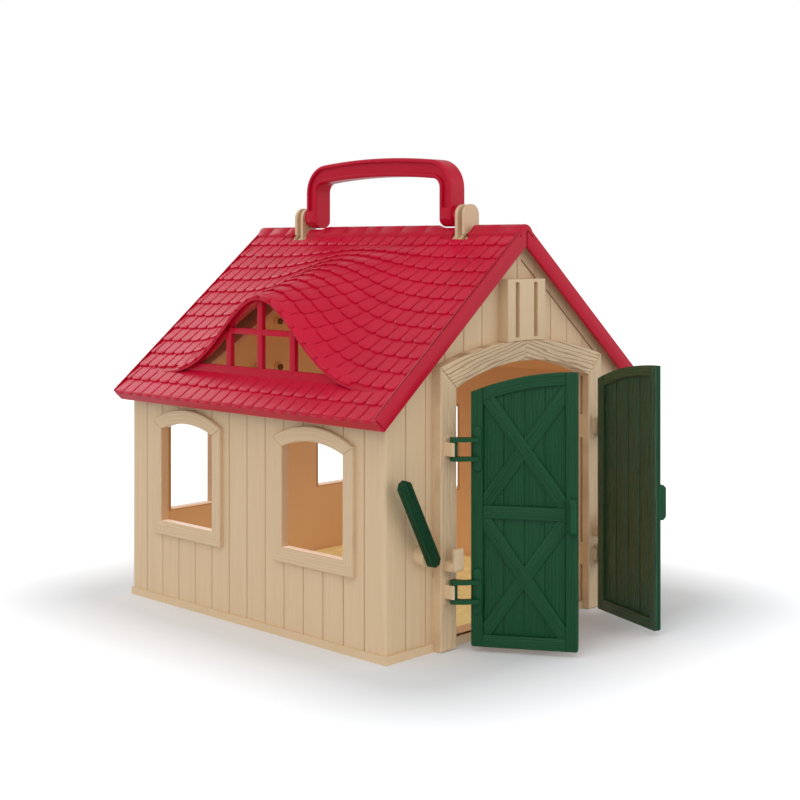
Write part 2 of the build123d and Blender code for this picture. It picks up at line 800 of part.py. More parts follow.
# Carrying handle: an arched bar on two legs, rounded about the ridge pivot
def handle_points(reach, top_z, corner):
    """Outline of the bar and legs in Y and Z: rounded corners under a shallow arch."""
    sweep = (handle_outer ** 2 + handle_crown ** 2) / (2 * handle_crown)
    lean = math.asin((reach - corner) / sweep)
    join_y = reach - corner * (1 - math.sin(lean))
    join_z = top_z - sweep + math.sqrt(sweep ** 2 - join_y ** 2)
    side = [(reach, pivot_z - leg_radius - 2)]
    for index in range(4):
        turn = (math.pi / 2 - lean) * index / 3
        side.append((reach - corner * (1 - math.cos(turn)), join_z - corner * (math.cos(lean) - math.sin(turn))))
    for index in range(1, 4):
        y = join_y * (1 - index / 4)
        side.append((y, top_z - sweep + math.sqrt(sweep ** 2 - y ** 2)))
    mirrored = [(-y, z) for y, z in side[::-1]]
    return [(handle_y + y, z) for y, z in side + [(0, top_z)] + mirrored]


def handle_face(x, reach, top_z, corner):
    points = handle_points(reach, top_z, corner)
    return make_face(Polyline([(x, y, z) for y, z in points], close=True))


def bevelled(reach, top_z, corner, inset):
    """Bar outline pushed across the full width, with its edges bevelled in or out."""
    flat = leg_radius - handle_chamfer
    faces = []
    for x, change in ((-leg_radius, inset), (-flat, 0), (flat, 0), (leg_radius, inset)):
        faces.append(handle_face(x, reach - change, top_z - change, corner - change))
    return loft(faces, ruled=True)


inner_top_z = handle_top_z - handle_bar
handle_grip = bevelled(handle_outer, handle_top_z, handle_corner, handle_chamfer)
handle_grip -= bevelled(handle_inner, inner_top_z, handle_inner_corner, -handle_chamfer)
stadium = [(leg_radius, handle_top_z + 1), (-leg_radius, handle_top_z + 1)]
for index in range(13):
    turn = math.radians(180 + 15 * index)
    stadium.append((leg_radius * math.cos(turn), pivot_z + leg_radius * math.sin(turn)))
handle_grip = handle_grip & slab_xz(stadium, handle_y - handle_outer - 1, handle_y + handle_outer + 1)
groove_outer = (handle_outer - channel_rim, handle_top_z - channel_rim, handle_corner - channel_rim)
groove_inner = (handle_inner + channel_rim, inner_top_z + channel_rim, handle_inner_corner + channel_rim)
for sign in (-1, 1):
    channel = extrude(handle_face(sign * (leg_radius + 1), *groove_outer), amount=channel_depth + 1, dir=(-sign, 0, 0))
    channel -= extrude(handle_face(sign * (leg_radius + 2), *groove_inner), amount=2 * channel_depth + 4, dir=(-sign, 0, 0))
    channel -= block(
        -beyond, beyond, handle_y - handle_outer, handle_y + handle_outer, pivot_z - beyond, pivot_z + channel_foot,
    )
    handle_grip -= channel
pins = []
for y_sign in (-1, 1):
    y_a = handle_y + y_sign * handle_outer
    y_b = handle_y + y_sign * (handle_outer + hub_length)
    handle_grip += prism_y(0, pivot_z, hub_radius, min(y_a, y_b), max(y_a, y_b), 24)
    y_c = handle_y + y_sign * (handle_outer - 7)
    y_d = handle_y + y_sign * (handle_outer + hub_length + 1)
    handle_grip -= rod_y(0, pivot_z, pin_radius, min(y_c, y_d), max(y_c, y_d))
    y_e = handle_y + y_sign * (outer_end - 1.1)
    pins.append(rod_y(0, pivot_z, pin_radius, min(y_c, y_e), max(y_c, y_e)))


# Doors, drawn closed for the left side and mirrored for the right
leaf_low = -pin_x + leaf_edge
leaf_high = leaf_low + leaf_width
leaf_front = pin_y + leaf_face
leaf_back = leaf_front + leaf_thickness


def leaf_outline(inset_side, inset_low, inset_top):
    """Closed leaf outline, straight sides under a shared arch."""
    low = leaf_low + inset_side
    high = leaf_high - inset_side
    radius = ((-leaf_low) ** 2 + (leaf_peak_z - leaf_spring_z) ** 2) / (2 * (leaf_peak_z - leaf_spring_z))
    centre_z = leaf_peak_z - radius
    radius -= inset_top

    def arc_z(x):
        return centre_z + math.sqrt(radius ** 2 - x ** 2)

    middle = (low + high) / 2
    bottom = leaf_bottom_z + inset_low
    edges = [
        Line((low, bottom), (high, bottom)),
        Line((high, bottom), (high, arc_z(high))),
        ThreePointArc((high, arc_z(high)), (middle, arc_z(middle)), (low, arc_z(low))),
        Line((low, arc_z(low)), (low, bottom)),
    ]
    return make_face(Curve() + edges)


def leaf_slab(face, y_low, y_high):
    return extrude(Pos(0, y_high, 0) * (front_plane * face), amount=y_high - y_low, dir=(0, -1, 0))


def door_leaf():
    leaf = leaf_slab(leaf_outline(0, 0, 0), leaf_front, leaf_back)
    field = leaf_outline(stile_width, rail_width, rail_width)
    left_x = leaf_low + stile_width
    right_x = leaf_high - stile_width
    low_z = leaf_bottom_z + rail_width
    top_z = leaf_spring_z - rail_width + 2
    mid_low = mid_rail_z - rail_width / 2
    mid_high = mid_rail_z + rail_width / 2
    deep = leaf_slab(field, leaf_front - 1, leaf_front + relief_depth + groove_depth)
    deep -= block(left_x - 9, right_x + 9, leaf_front - 3, leaf_back, mid_low, mid_high)
    for low, high in ((low_z, mid_low), (mid_high, top_z)):
        for start, end in (((left_x, low), (right_x, high)), ((left_x, high), (right_x, low))):
            run = math.atan2(end[1] - start[1], end[0] - start[0])
            length = math.hypot(end[1] - start[1], end[0] - start[0]) + 12
            middle = ((start[0] + end[0]) / 2, leaf_front, (start[1] + end[1]) / 2)
            strip = Pos(*middle) * Rot(0, -math.degrees(run), 0) * Box(length, 8, brace_width)
            deep -= strip
    leaf -= deep & block(left_x - 9, right_x + 9, leaf_front - 3, leaf_front + relief_depth, 0, leaf_peak_z)
    pocket = leaf_outline(inner_rim, inner_rim + 1.6, inner_rim + 0.6)
    leaf -= leaf_slab(pocket, leaf_back - relief_depth, leaf_back + 1)
    for index in range(seam_count):
        x = seam_start + index * seam_pitch - pin_x
        low_x = x - groove_width / 2
        high_x = x + groove_width / 2
        leaf -= block(
            low_x, high_x, leaf_back - relief_depth - groove_depth, leaf_back, low_z, leaf_spring_z - rail_width,
        )
        leaf -= deep & block(low_x, high_x, leaf_front - 3, leaf_back, low_z, leaf_peak_z)
    return leaf


def hinge_bracket(height):
    """Strap on the door face with two arms and the pin between them."""
    strap_x = leaf_low + 1.6
    strap = block(
        strap_x, strap_x + strap_width, leaf_front - strap_thickness, leaf_front,
        height - strap_height / 2, height + strap_height / 2,
    )
    strap = chamfer(strap.edges().filter_by(Axis.Y), 1.4)
    arm_gap = clip_height / 2 + arm_end_gap
    for sign in (-1, 1):
        z_a = height + sign * arm_gap
        z_b = height + sign * (arm_gap + arm_thickness)
        low = min(z_a, z_b)
        high = max(z_a, z_b)
        strap += prism_z(-pin_x, pin_y, arm_radius, low, high)
        strap += block(
            -pin_x, strap_x + strap_width - 0.6, pin_y - hinge_pin_radius, leaf_front - arm_back_gap, low, high,
        )
    strap += rod_z(-pin_x, pin_y, hinge_pin_radius, height - arm_gap - 1, height + arm_gap + 1)
    return strap


def door_pull():
    centre_x = leaf_high - 2.6
    pull = block(
        centre_x - pull_width / 2, centre_x + pull_width / 2, leaf_front - pull_depth, leaf_front,
        pull_z - pull_height / 2, pull_z + pull_height / 2,
    )
    pull = chamfer(pull.edges().filter_by(Axis.X).group_by(Axis.Y)[0], 2.6)
    return chamfer(pull.edges().filter_by(Axis.Z).group_by(Axis.Y)[0], 0.9)


def place_door(shape, side):
    """Turn a closed left side piece, or its mirror image, about its own hinge."""
    if side < 0:
        return Pos(-pin_x, pin_y, 0) * Rot(0, 0, -left_open_angle) * Pos(pin_x, -pin_y, 0) * shape
    flipped = mirror_x(shape)
    return Pos(pin_x, pin_y, 0) * Rot(0, 0, right_open_angle) * Pos(-pin_x, -pin_y, 0) * flipped


closed_leaf = door_leaf()
closed_brackets = [hinge_bracket(height) for height in hinge_heights]
closed_pull = door_pull()


# Latch bars, drawn pointing along X from the left pivot and then turned up
def latch_bar(side):
    front = latch_back_y - latch_thickness
    outline = [
        (-latch_half + latch_clip, -latch_half), (latch_length - latch_clip, -latch_half),
        (latch_length, -latch_half + latch_clip), (latch_length, latch_half - latch_clip),
        (latch_length - latch_clip, latch_half), (-latch_half + latch_clip, latch_half),
        (-latch_half, latch_half - latch_clip), (-latch_half, -latch_half + latch_clip),
    ]
    body = slab_xz(outline, front, latch_back_y)
    ends = body.faces().sort_by(Axis.Y)[0]
    body = chamfer(ends.edges(), 1.2)
    body += rod_y(0, 0, stub_radius, latch_back_y, front_y + 1.0)
    body = Rot(0, -latch_angle, 0) * body
    if side > 0:
        body = mirror_x(body)
    return Pos(side * latch_x, 0, latch_z) * body


latch_bar_left = latch_bar(-1)
latch_bar_right = latch_bar(1)


def gather(shapes):
    return Compound(children=[shape for item in shapes for shape in item.solids()])


nodes = {
    "floor_pan": floor_pan,
    "straw_floor": straw_floor,
    "left_wall": left_wall,
    "right_wall": right_wall,
    "front_gable": front_gable,
    "back_gable": back_gable,
    "back_gable_screws": gather(back_screws),
    "door_frame": door_frame,
    "window_frame_left_front": side_window(-1, side_window_front_y),
    "window_frame_left_rear": side_window(-1, side_window_rear_y),
    "window_frame_right_front": side_window(1, side_window_front_y),
    "window_frame_right_rear": side_window(1, side_window_rear_y),
    "window_frame_back_left": back_window(-back_window_x),
    "window_frame_back_right": back_window(back_window_x),
    "roof_left_shell": roof_left_shell,
    "roof_left_liner": roof_left_liner,
    "roof_left_screws": gather(left_screws),
    "dormer_window": dormer_window,
    "roof_right_shell": roof_right_shell,
    "roof_right_liner": roof_right_liner,
    "roof_right_screws": gather(right_screws),
    "handle_grip": handle_grip,
    "handle_pins": gather(pins),
    "door_left_leaf": place_door(closed_leaf, -1),
    "door_left_hinge_brackets": gather([place_door(item, -1) for item in closed_brackets]),
    "door_left_pull": place_door(closed_pull, -1),
    "door_right_leaf": place_door(closed_leaf, 1),
    "door_right_hinge_brackets": gather([place_door(item, 1) for item in closed_brackets]),
    "door_right_pull": place_door(closed_pull, 1),
    "latch_bar_left": latch_bar_left,
    "latch_bar_right": latch_bar_right,
}
for name, shape in nodes.items():
    export_step(shape, f"parts/{name}.step")
    box = shape.bounding_box()
    print(name, len(shape.solids()), [round(v, 1) for v in (*box.min, *box.max)])
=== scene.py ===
import math
import random

import bmesh
import bpy
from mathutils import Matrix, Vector


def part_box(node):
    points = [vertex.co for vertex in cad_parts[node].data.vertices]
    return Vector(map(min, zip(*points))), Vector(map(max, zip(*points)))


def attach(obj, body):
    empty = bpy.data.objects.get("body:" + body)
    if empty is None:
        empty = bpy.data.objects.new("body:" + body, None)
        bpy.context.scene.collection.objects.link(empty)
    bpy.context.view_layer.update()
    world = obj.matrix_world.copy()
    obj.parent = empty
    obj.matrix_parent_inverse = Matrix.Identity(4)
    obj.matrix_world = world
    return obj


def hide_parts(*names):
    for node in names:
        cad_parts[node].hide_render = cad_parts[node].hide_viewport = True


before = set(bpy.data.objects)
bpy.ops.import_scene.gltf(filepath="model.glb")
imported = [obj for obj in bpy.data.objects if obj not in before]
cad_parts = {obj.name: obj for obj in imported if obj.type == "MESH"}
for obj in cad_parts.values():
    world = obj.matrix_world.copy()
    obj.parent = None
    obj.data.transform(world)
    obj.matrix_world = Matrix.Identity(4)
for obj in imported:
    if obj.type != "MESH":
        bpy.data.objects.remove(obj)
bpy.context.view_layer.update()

# Every size below is in mm, and one factor turns it into metres where Blender takes it
MM = 0.001

# House body
WALL_X = 121.0
FRONT_Y = -125.0
BACK_Y = 125.0
WALL = 3.0
PAN_Z = 5.0
INSIDE_X = 119.5
INSIDE_Y = 123.5
INSIDE_TOP = 246.0
GROOVE_REACH = (120.0, 118.0)

# Windows
WINDOW_HALF = 27.7
BACK_WINDOW_HALF = 18.7
WINDOW_SILL = 56.5
WINDOW_SPRING = 119.6
WINDOW_PEAK = 125.0
WINDOW_RIM = 8.6
WINDOW_FOOT = 47.2
WINDOW_SHOULDER = 125.0
WINDOW_TOP = 134.2
WINDOW_PROUD = 3.0
SLEEVE = 1.8
SILL_PROUD = 0.25
LINING_GAP = 0.15
SIDE_WINDOW_Y = (-64.6, 60.5)
BACK_WINDOW_X = 71.5

# Doorway
DOOR_HALF = 66.2
DOOR_SPRING = 158.3
DOOR_PEAK = 171.3
FRAME_HALF = 80.3
FRAME_SPRING = 171.5
FRAME_PEAK = 184.5
FRAME_PROUD = 7.5
FRAME_FOOT = 0.3
REVEAL_SLOTS = ((4.3, 29.9), (44.7, 115.4), (130.9, 157.0))
DOOR_SLEEVE = 3.9
SLOT_WIDTH = 2.1
SLOT_DEPTH = 3.0

# Roof
SLOPE = 0.832
APEX = 258.2
EAVE_X = 137.1
ROOF_FRONT = -133.4
ROOF_BACK = 126.5
FIELD = (-129.6, 124.7)
TILES = 24
RAKE = 2.4
RAKE_DROP = 14.0
RAKE_BEVEL = 1.2
EAVE_ROUND = 1.5
TOP_ROUND = 0.9
BACK_DROP = 6.5
ROOF_SPLIT = 0.2
EAVE_CUT = (6.9, 6.83)
EAVE_FLAT = 1.7
COURSES = 13
COURSE = 10.2
COURSE_STEP = 1.6
TILE_GAP = 0.6
TILE_CORNER = 2.3
TILE_EDGE = 0.5
TILE_ROLL = (0.45, 0.08)
TILE_LAP = 3.2
TILE_UNDERCUT = 0.6
TOP_COURSE_X = 5.0
DECK_DROP = 2.0
DECK_UNDER = 3.3
DECK_START = 5.6
DECK_END = 2.6
SCREW_X = (24.5, 114.6)
SCREW_Y = (-108.0, 106.5)
SCREW_COVER = 2.4
SCREW_DROP = 1.0
RIDGE_TOP = 258.6
CAP_HALF = 6.85
CAP_RADIUS = 4.4
CAP_SHOULDER = (5.3, 254.2)
CAP_SLANT = 2.4
CAP_JOINTS = (-112.3, -91.2, -70.0, -48.7, -26.4, -5.6, 9.6, 30.7, 52.5, 92.2, 110.8)
RECESS_Z = 256.8
RECESS = (54.8, 58.9)

# Dormer
DORMER_Y = -7.6
DORMER_RISE = 0.517
DORMER_START = 14.7
DORMER_SPREAD = 35.0
LIP_X = 119.2
LIP_LEAST = 2.4
PANE_X = 115.2
PANE_DEPTH = 3.0
PANE_BEVEL = 0.4
PANE_BORDER = 2.5
HOOD_THICK = 2.6
PANE_SILL = 165.7
MULLIONS = (-37.1, -5.6, 25.9)
MULLION_HALF = 2.6
TRANSOM = (187.0, 190.9)

# Handle and ridge ears
PIVOT_Z = 265.2
HANDLE_Y = -2.2
HANDLE_OUTER = 71.4
HANDLE_INNER = 60.9
HANDLE_TOP = 305.7
HANDLE_CROWN = 4.7
HANDLE_BAR = 12.8
LEG = 7.6
NOTCH = (72.3, 86.9)
NOTCH_X = 10.1
NOTCH_ENDS = sorted(HANDLE_Y + s * n for s in (-1, 1) for n in NOTCH)
HANDLE_CORNER = 20.0
HANDLE_INNER_CORNER = 6.5
HANDLE_EDGE = 1.5
HUB_RADIUS = 6.0
HUB_LENGTH = 4.5

# Doors
PIN_X = 73.9
PIN_Y = -137.7
LEAF_LOW = 8.9
LEAF_HIGH = 73.2
LEAF_FACE = 5.0
LEAF_THICK = 4.6
LEAF_FOOT = 3.4
LEAF_SPRING = 156.7
LEAF_PEAK = 169.6
STILE = 7.3
RAIL = 7.6
MID_RAIL = (80.8, 88.6)
BRACE_HALF = 4.1
RELIEF = 1.2
BOARD_BASE = -0.4
BOARD_BEVEL = 0.35
STILE_BEVEL = 0.45
LEAF_CORNER = 1.6
FRAME_RELIEF = 1.55
PLANKS = 4
PLANK_GAP = 0.18
INNER_SEAMS = (15.8, 29.2, 42.7, 55.4, 67.8)
INNER_FOOT = 11.0
INNER_RAIL = 6.6
OPEN_ANGLES = {"left": 58.6, "right": 70.1}

# Hinges, measured from the pin
HINGE_Z = (37.0, 122.6)
STRAP = (10.3, 15.6)
STRAP_HALF = 13.5
STRAP_CORNER = 2.4
STRAP_TOP = 1.7
ARM_RADIUS = 3.0
ARM_LEVELS = (4.5, 7.1)
HINGE_PIN = 1.7
HINGE_PIN_HALF = 5.5
CLIP_HALF = 4.1
CLIP_RADIUS = 3.9
CLIP_BORE = 1.9
PAD_HALF = 7.7

# Latch bars and their hooks
LATCH_X = 91.0
LATCH_Z = 59.5
LATCH_TURN = 118.0
LATCH_HALF = 4.4
LATCH_START = -5.8
LATCH_END = 54.2
LATCH_CLIP = 2.7
LATCH_BACK = -133.4
LATCH_THICK = 4.5
STUB_RADIUS = 2.55
STUB_BACK = -124.1
STUB_LENGTH = 9.3
HOOK_X = (70.2, 77.6)
HOOK_LOW = 49.2
HOOK_SHELF = 54.8
HOOK_TOP = 63.0
HOOK_FRONT = -141.5
HOOK_LIP = 2.6

# Straw
STRANDS = 5200

# Photo, in pixels, with the camera's place in mm and its turn in degrees
PICTURE = 800
FOCAL = 1442.375
HORIZON = 246.59
CAMERA_PLACE = (-717.0, -718.5, 244.2)
CAMERA_TURN = -45.736

random.seed(7)


def linear(red, green, blue):
    """Linear colour from everyday values of 0 to 255."""
    return tuple(((c / 255 + 0.055) / 1.055) ** 2.4 for c in (red, green, blue)) + (1.0,)


class Shape:
    """Points in mm, faces and grain coordinates that become one Blender object."""

    def __init__(self):
        self.points = []
        self.faces = []
        self.grain = []

    def add(self, points, faces, grain=None):
        first = len(self.points)
        self.points.extend(points)
        self.grain.extend(grain or [(y, x) for x, y, _ in points])
        self.faces.extend(tuple(first + i for i in face) for face in faces)

    def finish(self, name, body, material, slot, nodes=(), sharp=32):
        mesh = bpy.data.meshes.new(name)
        mesh.from_pydata([tuple(c * MM for c in p) for p in self.points], [], self.faces)
        layer = mesh.uv_layers.new(name="grain")
        for loop in mesh.loops:
            u, v = self.grain[loop.vertex_index]
            layer.data[loop.index].uv = (u * MM, v * MM)
        work = bmesh.new()
        work.from_mesh(mesh)
        bmesh.ops.recalc_face_normals(work, faces=work.faces)
        work.to_mesh(mesh)
        work.free()
        mesh.shade_smooth()
        mesh.set_sharp_from_angle(angle=math.radians(sharp))
        mesh.materials.append(material)
        piece = bpy.data.objects.new(name, mesh)
        bpy.context.scene.collection.objects.link(piece)
        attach(piece, body)
        if nodes:
            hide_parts(*nodes)
        return piece


def cut(outline, a, b, limit):
    """The part of a convex outline where a*x + b*y is at most the limit."""
    kept = []
    for index, here in enumerate(outline):
        last = outline[index - 1]
        side_here = a * here[0] + b * here[1] - limit
        side_last = a * last[0] + b * last[1] - limit
        if (side_here < 0) != (side_last < 0):
            share = side_last / (side_last - side_here)
            kept.append(tuple(last[i] + (here[i] - last[i]) * share for i in (0, 1)))
        if side_here < 0:
            kept.append(here)
    return [p for i, p in enumerate(kept) if math.dist(p, kept[i - 1]) > 0.02]


def band(outline, a, b, low, high):
    """The part of a convex outline where a*x + b*y is between two limits."""
    return cut(cut(outline, a, b, high), -a, -b, -low)


def inset(outline, distance):
    """A convex outline drawn in by a distance, corner by corner."""
    area = sum(p[0] * q[1] - q[0] * p[1] for p, q in zip(outline, outline[1:] + outline[:1]))
    turn = 1 if area > 0 else -1
    moved = []
    for index, here in enumerate(outline):
        last = outline[index - 1]
        after = outline[(index + 1) % len(outline)]
        normals = []
        for p, q in ((last, here), (here, after)):
            length = math.dist(p, q)
            normals.append((-(q[1] - p[1]) / length * turn, (q[0] - p[0]) / length * turn))
        (ax, ay), (bx, by) = normals
        share = distance / max(1 + ax * bx + ay * by, 0.3)
        moved.append((here[0] + (ax + bx) * share, here[1] + (ay + by) * share))
    return moved


def circle(radius, step, start=0, end=360):
    """Points around a circle, a number of degrees apart."""
    turns = [math.radians(t) for t in range(start, end, step)]
    return [(radius * math.cos(t), radius * math.sin(t)) for t in turns]


def skin(count, rings, closed=True):
    """Faces that join each ring of points to the next one."""
    faces = []
    for ring in range(rings - 1):
        first = ring * count
        for index in range(count if closed else count - 1):
            here = first + index
            after = first + (index + 1) % count
            faces.append((here, after, after + count, here + count))
    return faces


def capped(count, rings):
    """Faces of a closed form: its skin, and one face on each end ring."""
    last = (rings - 1) * count
    return skin(count, rings) + [tuple(range(count)), tuple(range(last, last + count))]


def along_grain(a, b, angle, shift):
    """Grain coordinates of a point on a board whose grain runs along an angle."""
    cosine = math.cos(math.radians(angle))
    sine = math.sin(math.radians(angle))
    return a * cosine + b * sine + shift[0], b * cosine - a * sine + shift[1]


def panel(shape, outline, base, top, bevel, place, angle=0.0):
    """A board cut to a flat outline, with bevelled edges on its face and grain along an angle."""
    rings = [(outline, base), (outline, top - bevel), (inset(outline, bevel * 0.3), top - bevel * 0.3),
             (inset(outline, bevel), top)]
    shift = (random.uniform(0, 900), random.uniform(0, 900))
    points = []
    grain = []
    for ring, height in rings:
        for a, b in ring:
            points.append(place(a, b, height))
            u, v = along_grain(a, b, angle, shift)
            grain.append((u, v + height))
    shape.add(points, capped(len(outline), len(rings)), grain)


def ribbon(shape, inner, outer, base, top, bevel, place, straight=None):
    """A board swept between two lines of points, with bevelled edges and mitred ends."""
    near = bevel / max(math.dist(inner[0], inner[1]), math.dist(outer[0], outer[1]))
    stations = [(inner[0], outer[0], True)]
    for end, other in ((0, 1), (-1, -2)):
        close = [tuple(p[i] + (q[i] - p[i]) * near for i in (0, 1))
                 for p, q in ((inner[end], inner[other]), (outer[end], outer[other]))]
        stations.append((close[0], close[1], False))
        if end == 0:
            stations.extend((p, q, False) for p, q in zip(inner[1:-1], outer[1:-1]))
    stations.append((inner[-1], outer[-1], True))
    shift = (random.uniform(0, 900), random.uniform(0, 900))
    points = []
    grain = []
    run = 0.0
    last = None
    for p, q, is_end in stations:
        width = math.dist(p, q)
        middle = ((p[0] + q[0]) / 2, (p[1] + q[1]) / 2)
        if last:
            run += math.dist(middle, last)
        last = middle
        face = top - bevel if is_end else top
        profile = ((0, base), (0, top - bevel), (bevel, face), (width - bevel, face),
                   (width, top - bevel), (width, base))
        for across, height in profile:
            share = across / width
            a = p[0] + (q[0] - p[0]) * share
            b = p[1] + (q[1] - p[1]) * share
            points.append(place(a, b, height))
            if straight is None:
                grain.append((run + shift[0], across + shift[1]))
            else:
                grain.append(along_grain(a, b, straight, shift))
    shape.add(points, capped(6, len(stations)), grain)


def arc(centre, half, spring, peak, count, start=-1.0, end=1.0):
    """Points along a segment arch, from one side to the other."""
    rise = peak - spring
    radius = (half ** 2 + rise ** 2) / (2 * rise)
    points = []
    for index in range(count + 1):
        x = half * (start + (end - start) * index / count)
        points.append((centre + x, peak - radius + math.sqrt(radius ** 2 - x ** 2)))
    return points


def rounded(outline, corner, radius, steps=4):
    """The outline with one corner replaced by a quarter round."""
    here = outline[corner]
    last = outline[corner - 1]
    after = outline[(corner + 1) % len(outline)]
    start = Vector(here) + (Vector(last) - Vector(here)).normalized() * radius
    end = Vector(here) + (Vector(after) - Vector(here)).normalized() * radius
    arc_points = []
    for index in range(steps + 1):
        t = index / steps
        point = (1 - t) ** 2 * start + 2 * t * (1 - t) * Vector(here) + t ** 2 * end
        arc_points.append(tuple(point))
    return outline[:corner] + arc_points + outline[corner + 1:]


# Materials

# The wave texture repeats at this distance when its scale is 1
WAVE_PITCH = 0.314


class Nodes:
    """Short calls for the shader nodes that the materials share."""

    def __init__(self, name, roughness, specular=0.5):
        self.material = bpy.data.materials.new(name)
        self.material.use_nodes = True
        self.tree = self.material.node_tree
        self.shader = self.tree.nodes["Principled BSDF"]
        self.shader.inputs["Roughness"].default_value = roughness
        self.shader.inputs["Specular IOR Level"].default_value = specular

    def new(self, kind, **settings):
        made = self.tree.nodes.new("ShaderNode" + kind)
        for key, value in settings.items():
            setattr(made, key, value)
        return made

    def link(self, source, target):
        self.tree.links.new(source, target)

    def noise(self, source, scale, detail=4.0, roughness=0.55, distortion=0.0):
        coordinates = self.new("TexCoord").outputs[source]
        mapping = self.new("Mapping")
        mapping.inputs["Scale"].default_value = scale
        self.link(coordinates, mapping.inputs["Vector"])
        texture = self.new("TexNoise")
        texture.inputs["Scale"].default_value = 1.0
        texture.inputs["Detail"].default_value = detail
        texture.inputs["Roughness"].default_value = roughness
        texture.inputs["Distortion"].default_value = distortion
        self.link(mapping.outputs["Vector"], texture.inputs["Vector"])
        return texture.outputs["Fac"]

    def calc(self, operation, first, second=0.0):
        made = self.new("Math", operation=operation)
        for value, socket in ((first, made.inputs[0]), (second, made.inputs[1])):
            if isinstance(value, float):
                socket.default_value = value
            else:
                self.link(value, socket)
        return made.outputs[0]

    def times(self, first, second):
        return self.calc("MULTIPLY", first, second)

    def axes(self):
        """Distances along X, Y and Z of the shaded point in the shared frame, in metres."""
        place = self.new("SeparateXYZ")
        self.link(self.new("TexCoord").outputs["Object"], place.inputs[0])
        return place.outputs["X"], place.outputs["Y"], place.outputs["Z"]

    def ramp(self, value, low, high):
        made = self.new("MapRange")
        made.inputs["From Min"].default_value = low
        made.inputs["From Max"].default_value = high
        self.link(value, made.inputs["Value"])
        return made.outputs["Result"]

    def mix(self, share, first, second, amount=1.0):
        """Colour that goes from the first to the second as the share rises to the amount."""
        made = self.new("Mix", data_type="RGBA")
        self.link(self.times(share, amount), made.inputs["Factor"])
        for value, socket in ((first, made.inputs[6]), (second, made.inputs[7])):
            if isinstance(value, tuple):
                socket.default_value = value
            else:
                self.link(value, socket)
        return made.outputs[2]

    def bump(self, height, strength, distance, before=None):
        made = self.new("Bump")
        made.inputs["Strength"].default_value = strength
        made.inputs["Distance"].default_value = distance
        self.link(height, made.inputs["Height"])
        if before is not None:
            self.link(before, made.inputs["Normal"])
        return made.outputs["Normal"]

    def done(self, colour, normal=None):
        self.link(colour, self.shader.inputs["Base Color"])
        if normal is not None:
            self.link(normal, self.shader.inputs["Normal"])
        return self.material


def wood_plastic(name, light, dark, grain, strength, depth, roughness, specular, lines=None, wall=False):
    """Moulded plastic with a pressed wood grain: long thin streaks and a few broad ones."""
    make = Nodes(name, roughness, specular)
    along, across = grain
    source = "Object" if wall else "UV"
    fine = (1000 / along, 1000 / across, 1)
    broad = (400 / along, 260 / across, 1)
    if wall:
        fine = (1000 / across, 1000 / across, 1000 / along)
        broad = (260 / across, 260 / across, 400 / along)
    streaks = make.ramp(make.noise(source, fine, 5.0, 0.6, 0.4), 0.42, 0.66)
    bands = make.noise(source, broad, 2.0, 0.5, 1.2)
    colour = make.mix(streaks, light, dark, strength)
    colour = make.mix(make.ramp(bands, 0.35, 0.75), colour, dark, strength * 0.5)
    normal = make.bump(make.calc("SUBTRACT", 1.0, streaks), 1.0, depth)
    stipple = make.noise("Object", (2600, 2600, 2600), 2.0)
    normal = make.bump(stipple, 0.25, 0.00004, normal)
    if wall:
        # Walls: painted light and glow inside the house, and painted shade in the grooves
        colour = painted_groove_shade(make, painted_inside_light(make, colour))
    if lines:
        pitch, stretch, wobble, share = lines
        pressed = pressed_lines(make, pitch, stretch, wobble)
        colour = make.mix(pressed, colour, dark, share)
        normal = make.bump(make.calc("SUBTRACT", 1.0, pressed), 1.0, depth, normal)
    return make.done(colour, normal)


def painted_inside_light(make, colour):
    """Painted light inside the house: a warm colour, lighter low down and darker higher up where shade is
    painted, and a little glow from the plastic that fades with height.
    """
    x, y, z = make.axes()
    inside = make.calc("LESS_THAN", z, INSIDE_TOP * MM)
    for axis, reach in ((x, INSIDE_X), (y, INSIDE_Y)):
        within = make.calc("LESS_THAN", make.calc("ABSOLUTE", axis), reach * MM)
        inside = make.times(inside, within)
    height = make.ramp(z, *(level * MM for level in GLOW_HEIGHTS))
    fade = make.calc("SUBTRACT", 1.0, make.times(height, GLOW_LOSS))
    glow = make.times(fade, INSIDE_GLOW)
    make.link(make.times(inside, glow), make.shader.inputs["Emission Strength"])
    make.shader.inputs["Emission Color"].default_value = GLOW_COLOUR
    return make.mix(inside, colour, make.mix(height, INSIDE_PAINTED_LIGHT, INSIDE_PAINTED_SHADE))


def painted_groove_shade(make, colour):
    """Painted shade in the grooves of the outer wall faces: browner the deeper down."""
    x, y, _ = make.axes()
    x = make.calc("ABSOLUTE", x)
    y = make.calc("ABSOLUTE", y)
    faces = ((x, y, WALL_X, GROOVE_REACH[0]), (y, x, BACK_Y, GROOVE_REACH[1]))
    for across, along, face, reach in faces:
        depth = make.calc("SUBTRACT", face * MM, across)
        share = make.ramp(depth, *(level * MM for level in GROOVE_DEPTHS))
        share = make.times(share, make.calc("LESS_THAN", depth, GROOVE_LIMIT * MM))
        share = make.times(share, make.calc("LESS_THAN", along, reach * MM))
        colour = make.mix(share, colour, GROOVE_SHADE, GROOVE_SHARE)
    return colour


def pressed_lines(make, pitch, stretch, wobble):
    """Thin wavy lines along the grain, as pressed into the boards."""
    mapping = make.new("Mapping")
    mapping.inputs["Scale"].default_value = (1000 / stretch, 1000, 1)
    make.link(make.new("TexCoord").outputs["UV"], mapping.inputs["Vector"])
    wave = make.new("TexWave", wave_type="BANDS", bands_direction="Y")
    wave.inputs["Scale"].default_value = WAVE_PITCH / pitch
    wave.inputs["Distortion"].default_value = wobble
    wave.inputs["Detail"].default_value = 3.0
    wave.inputs["Detail Scale"].default_value = 1.2
    make.link(mapping.outputs["Vector"], wave.inputs["Vector"])
    return make.ramp(wave.outputs["Fac"], 0.72, 0.98)


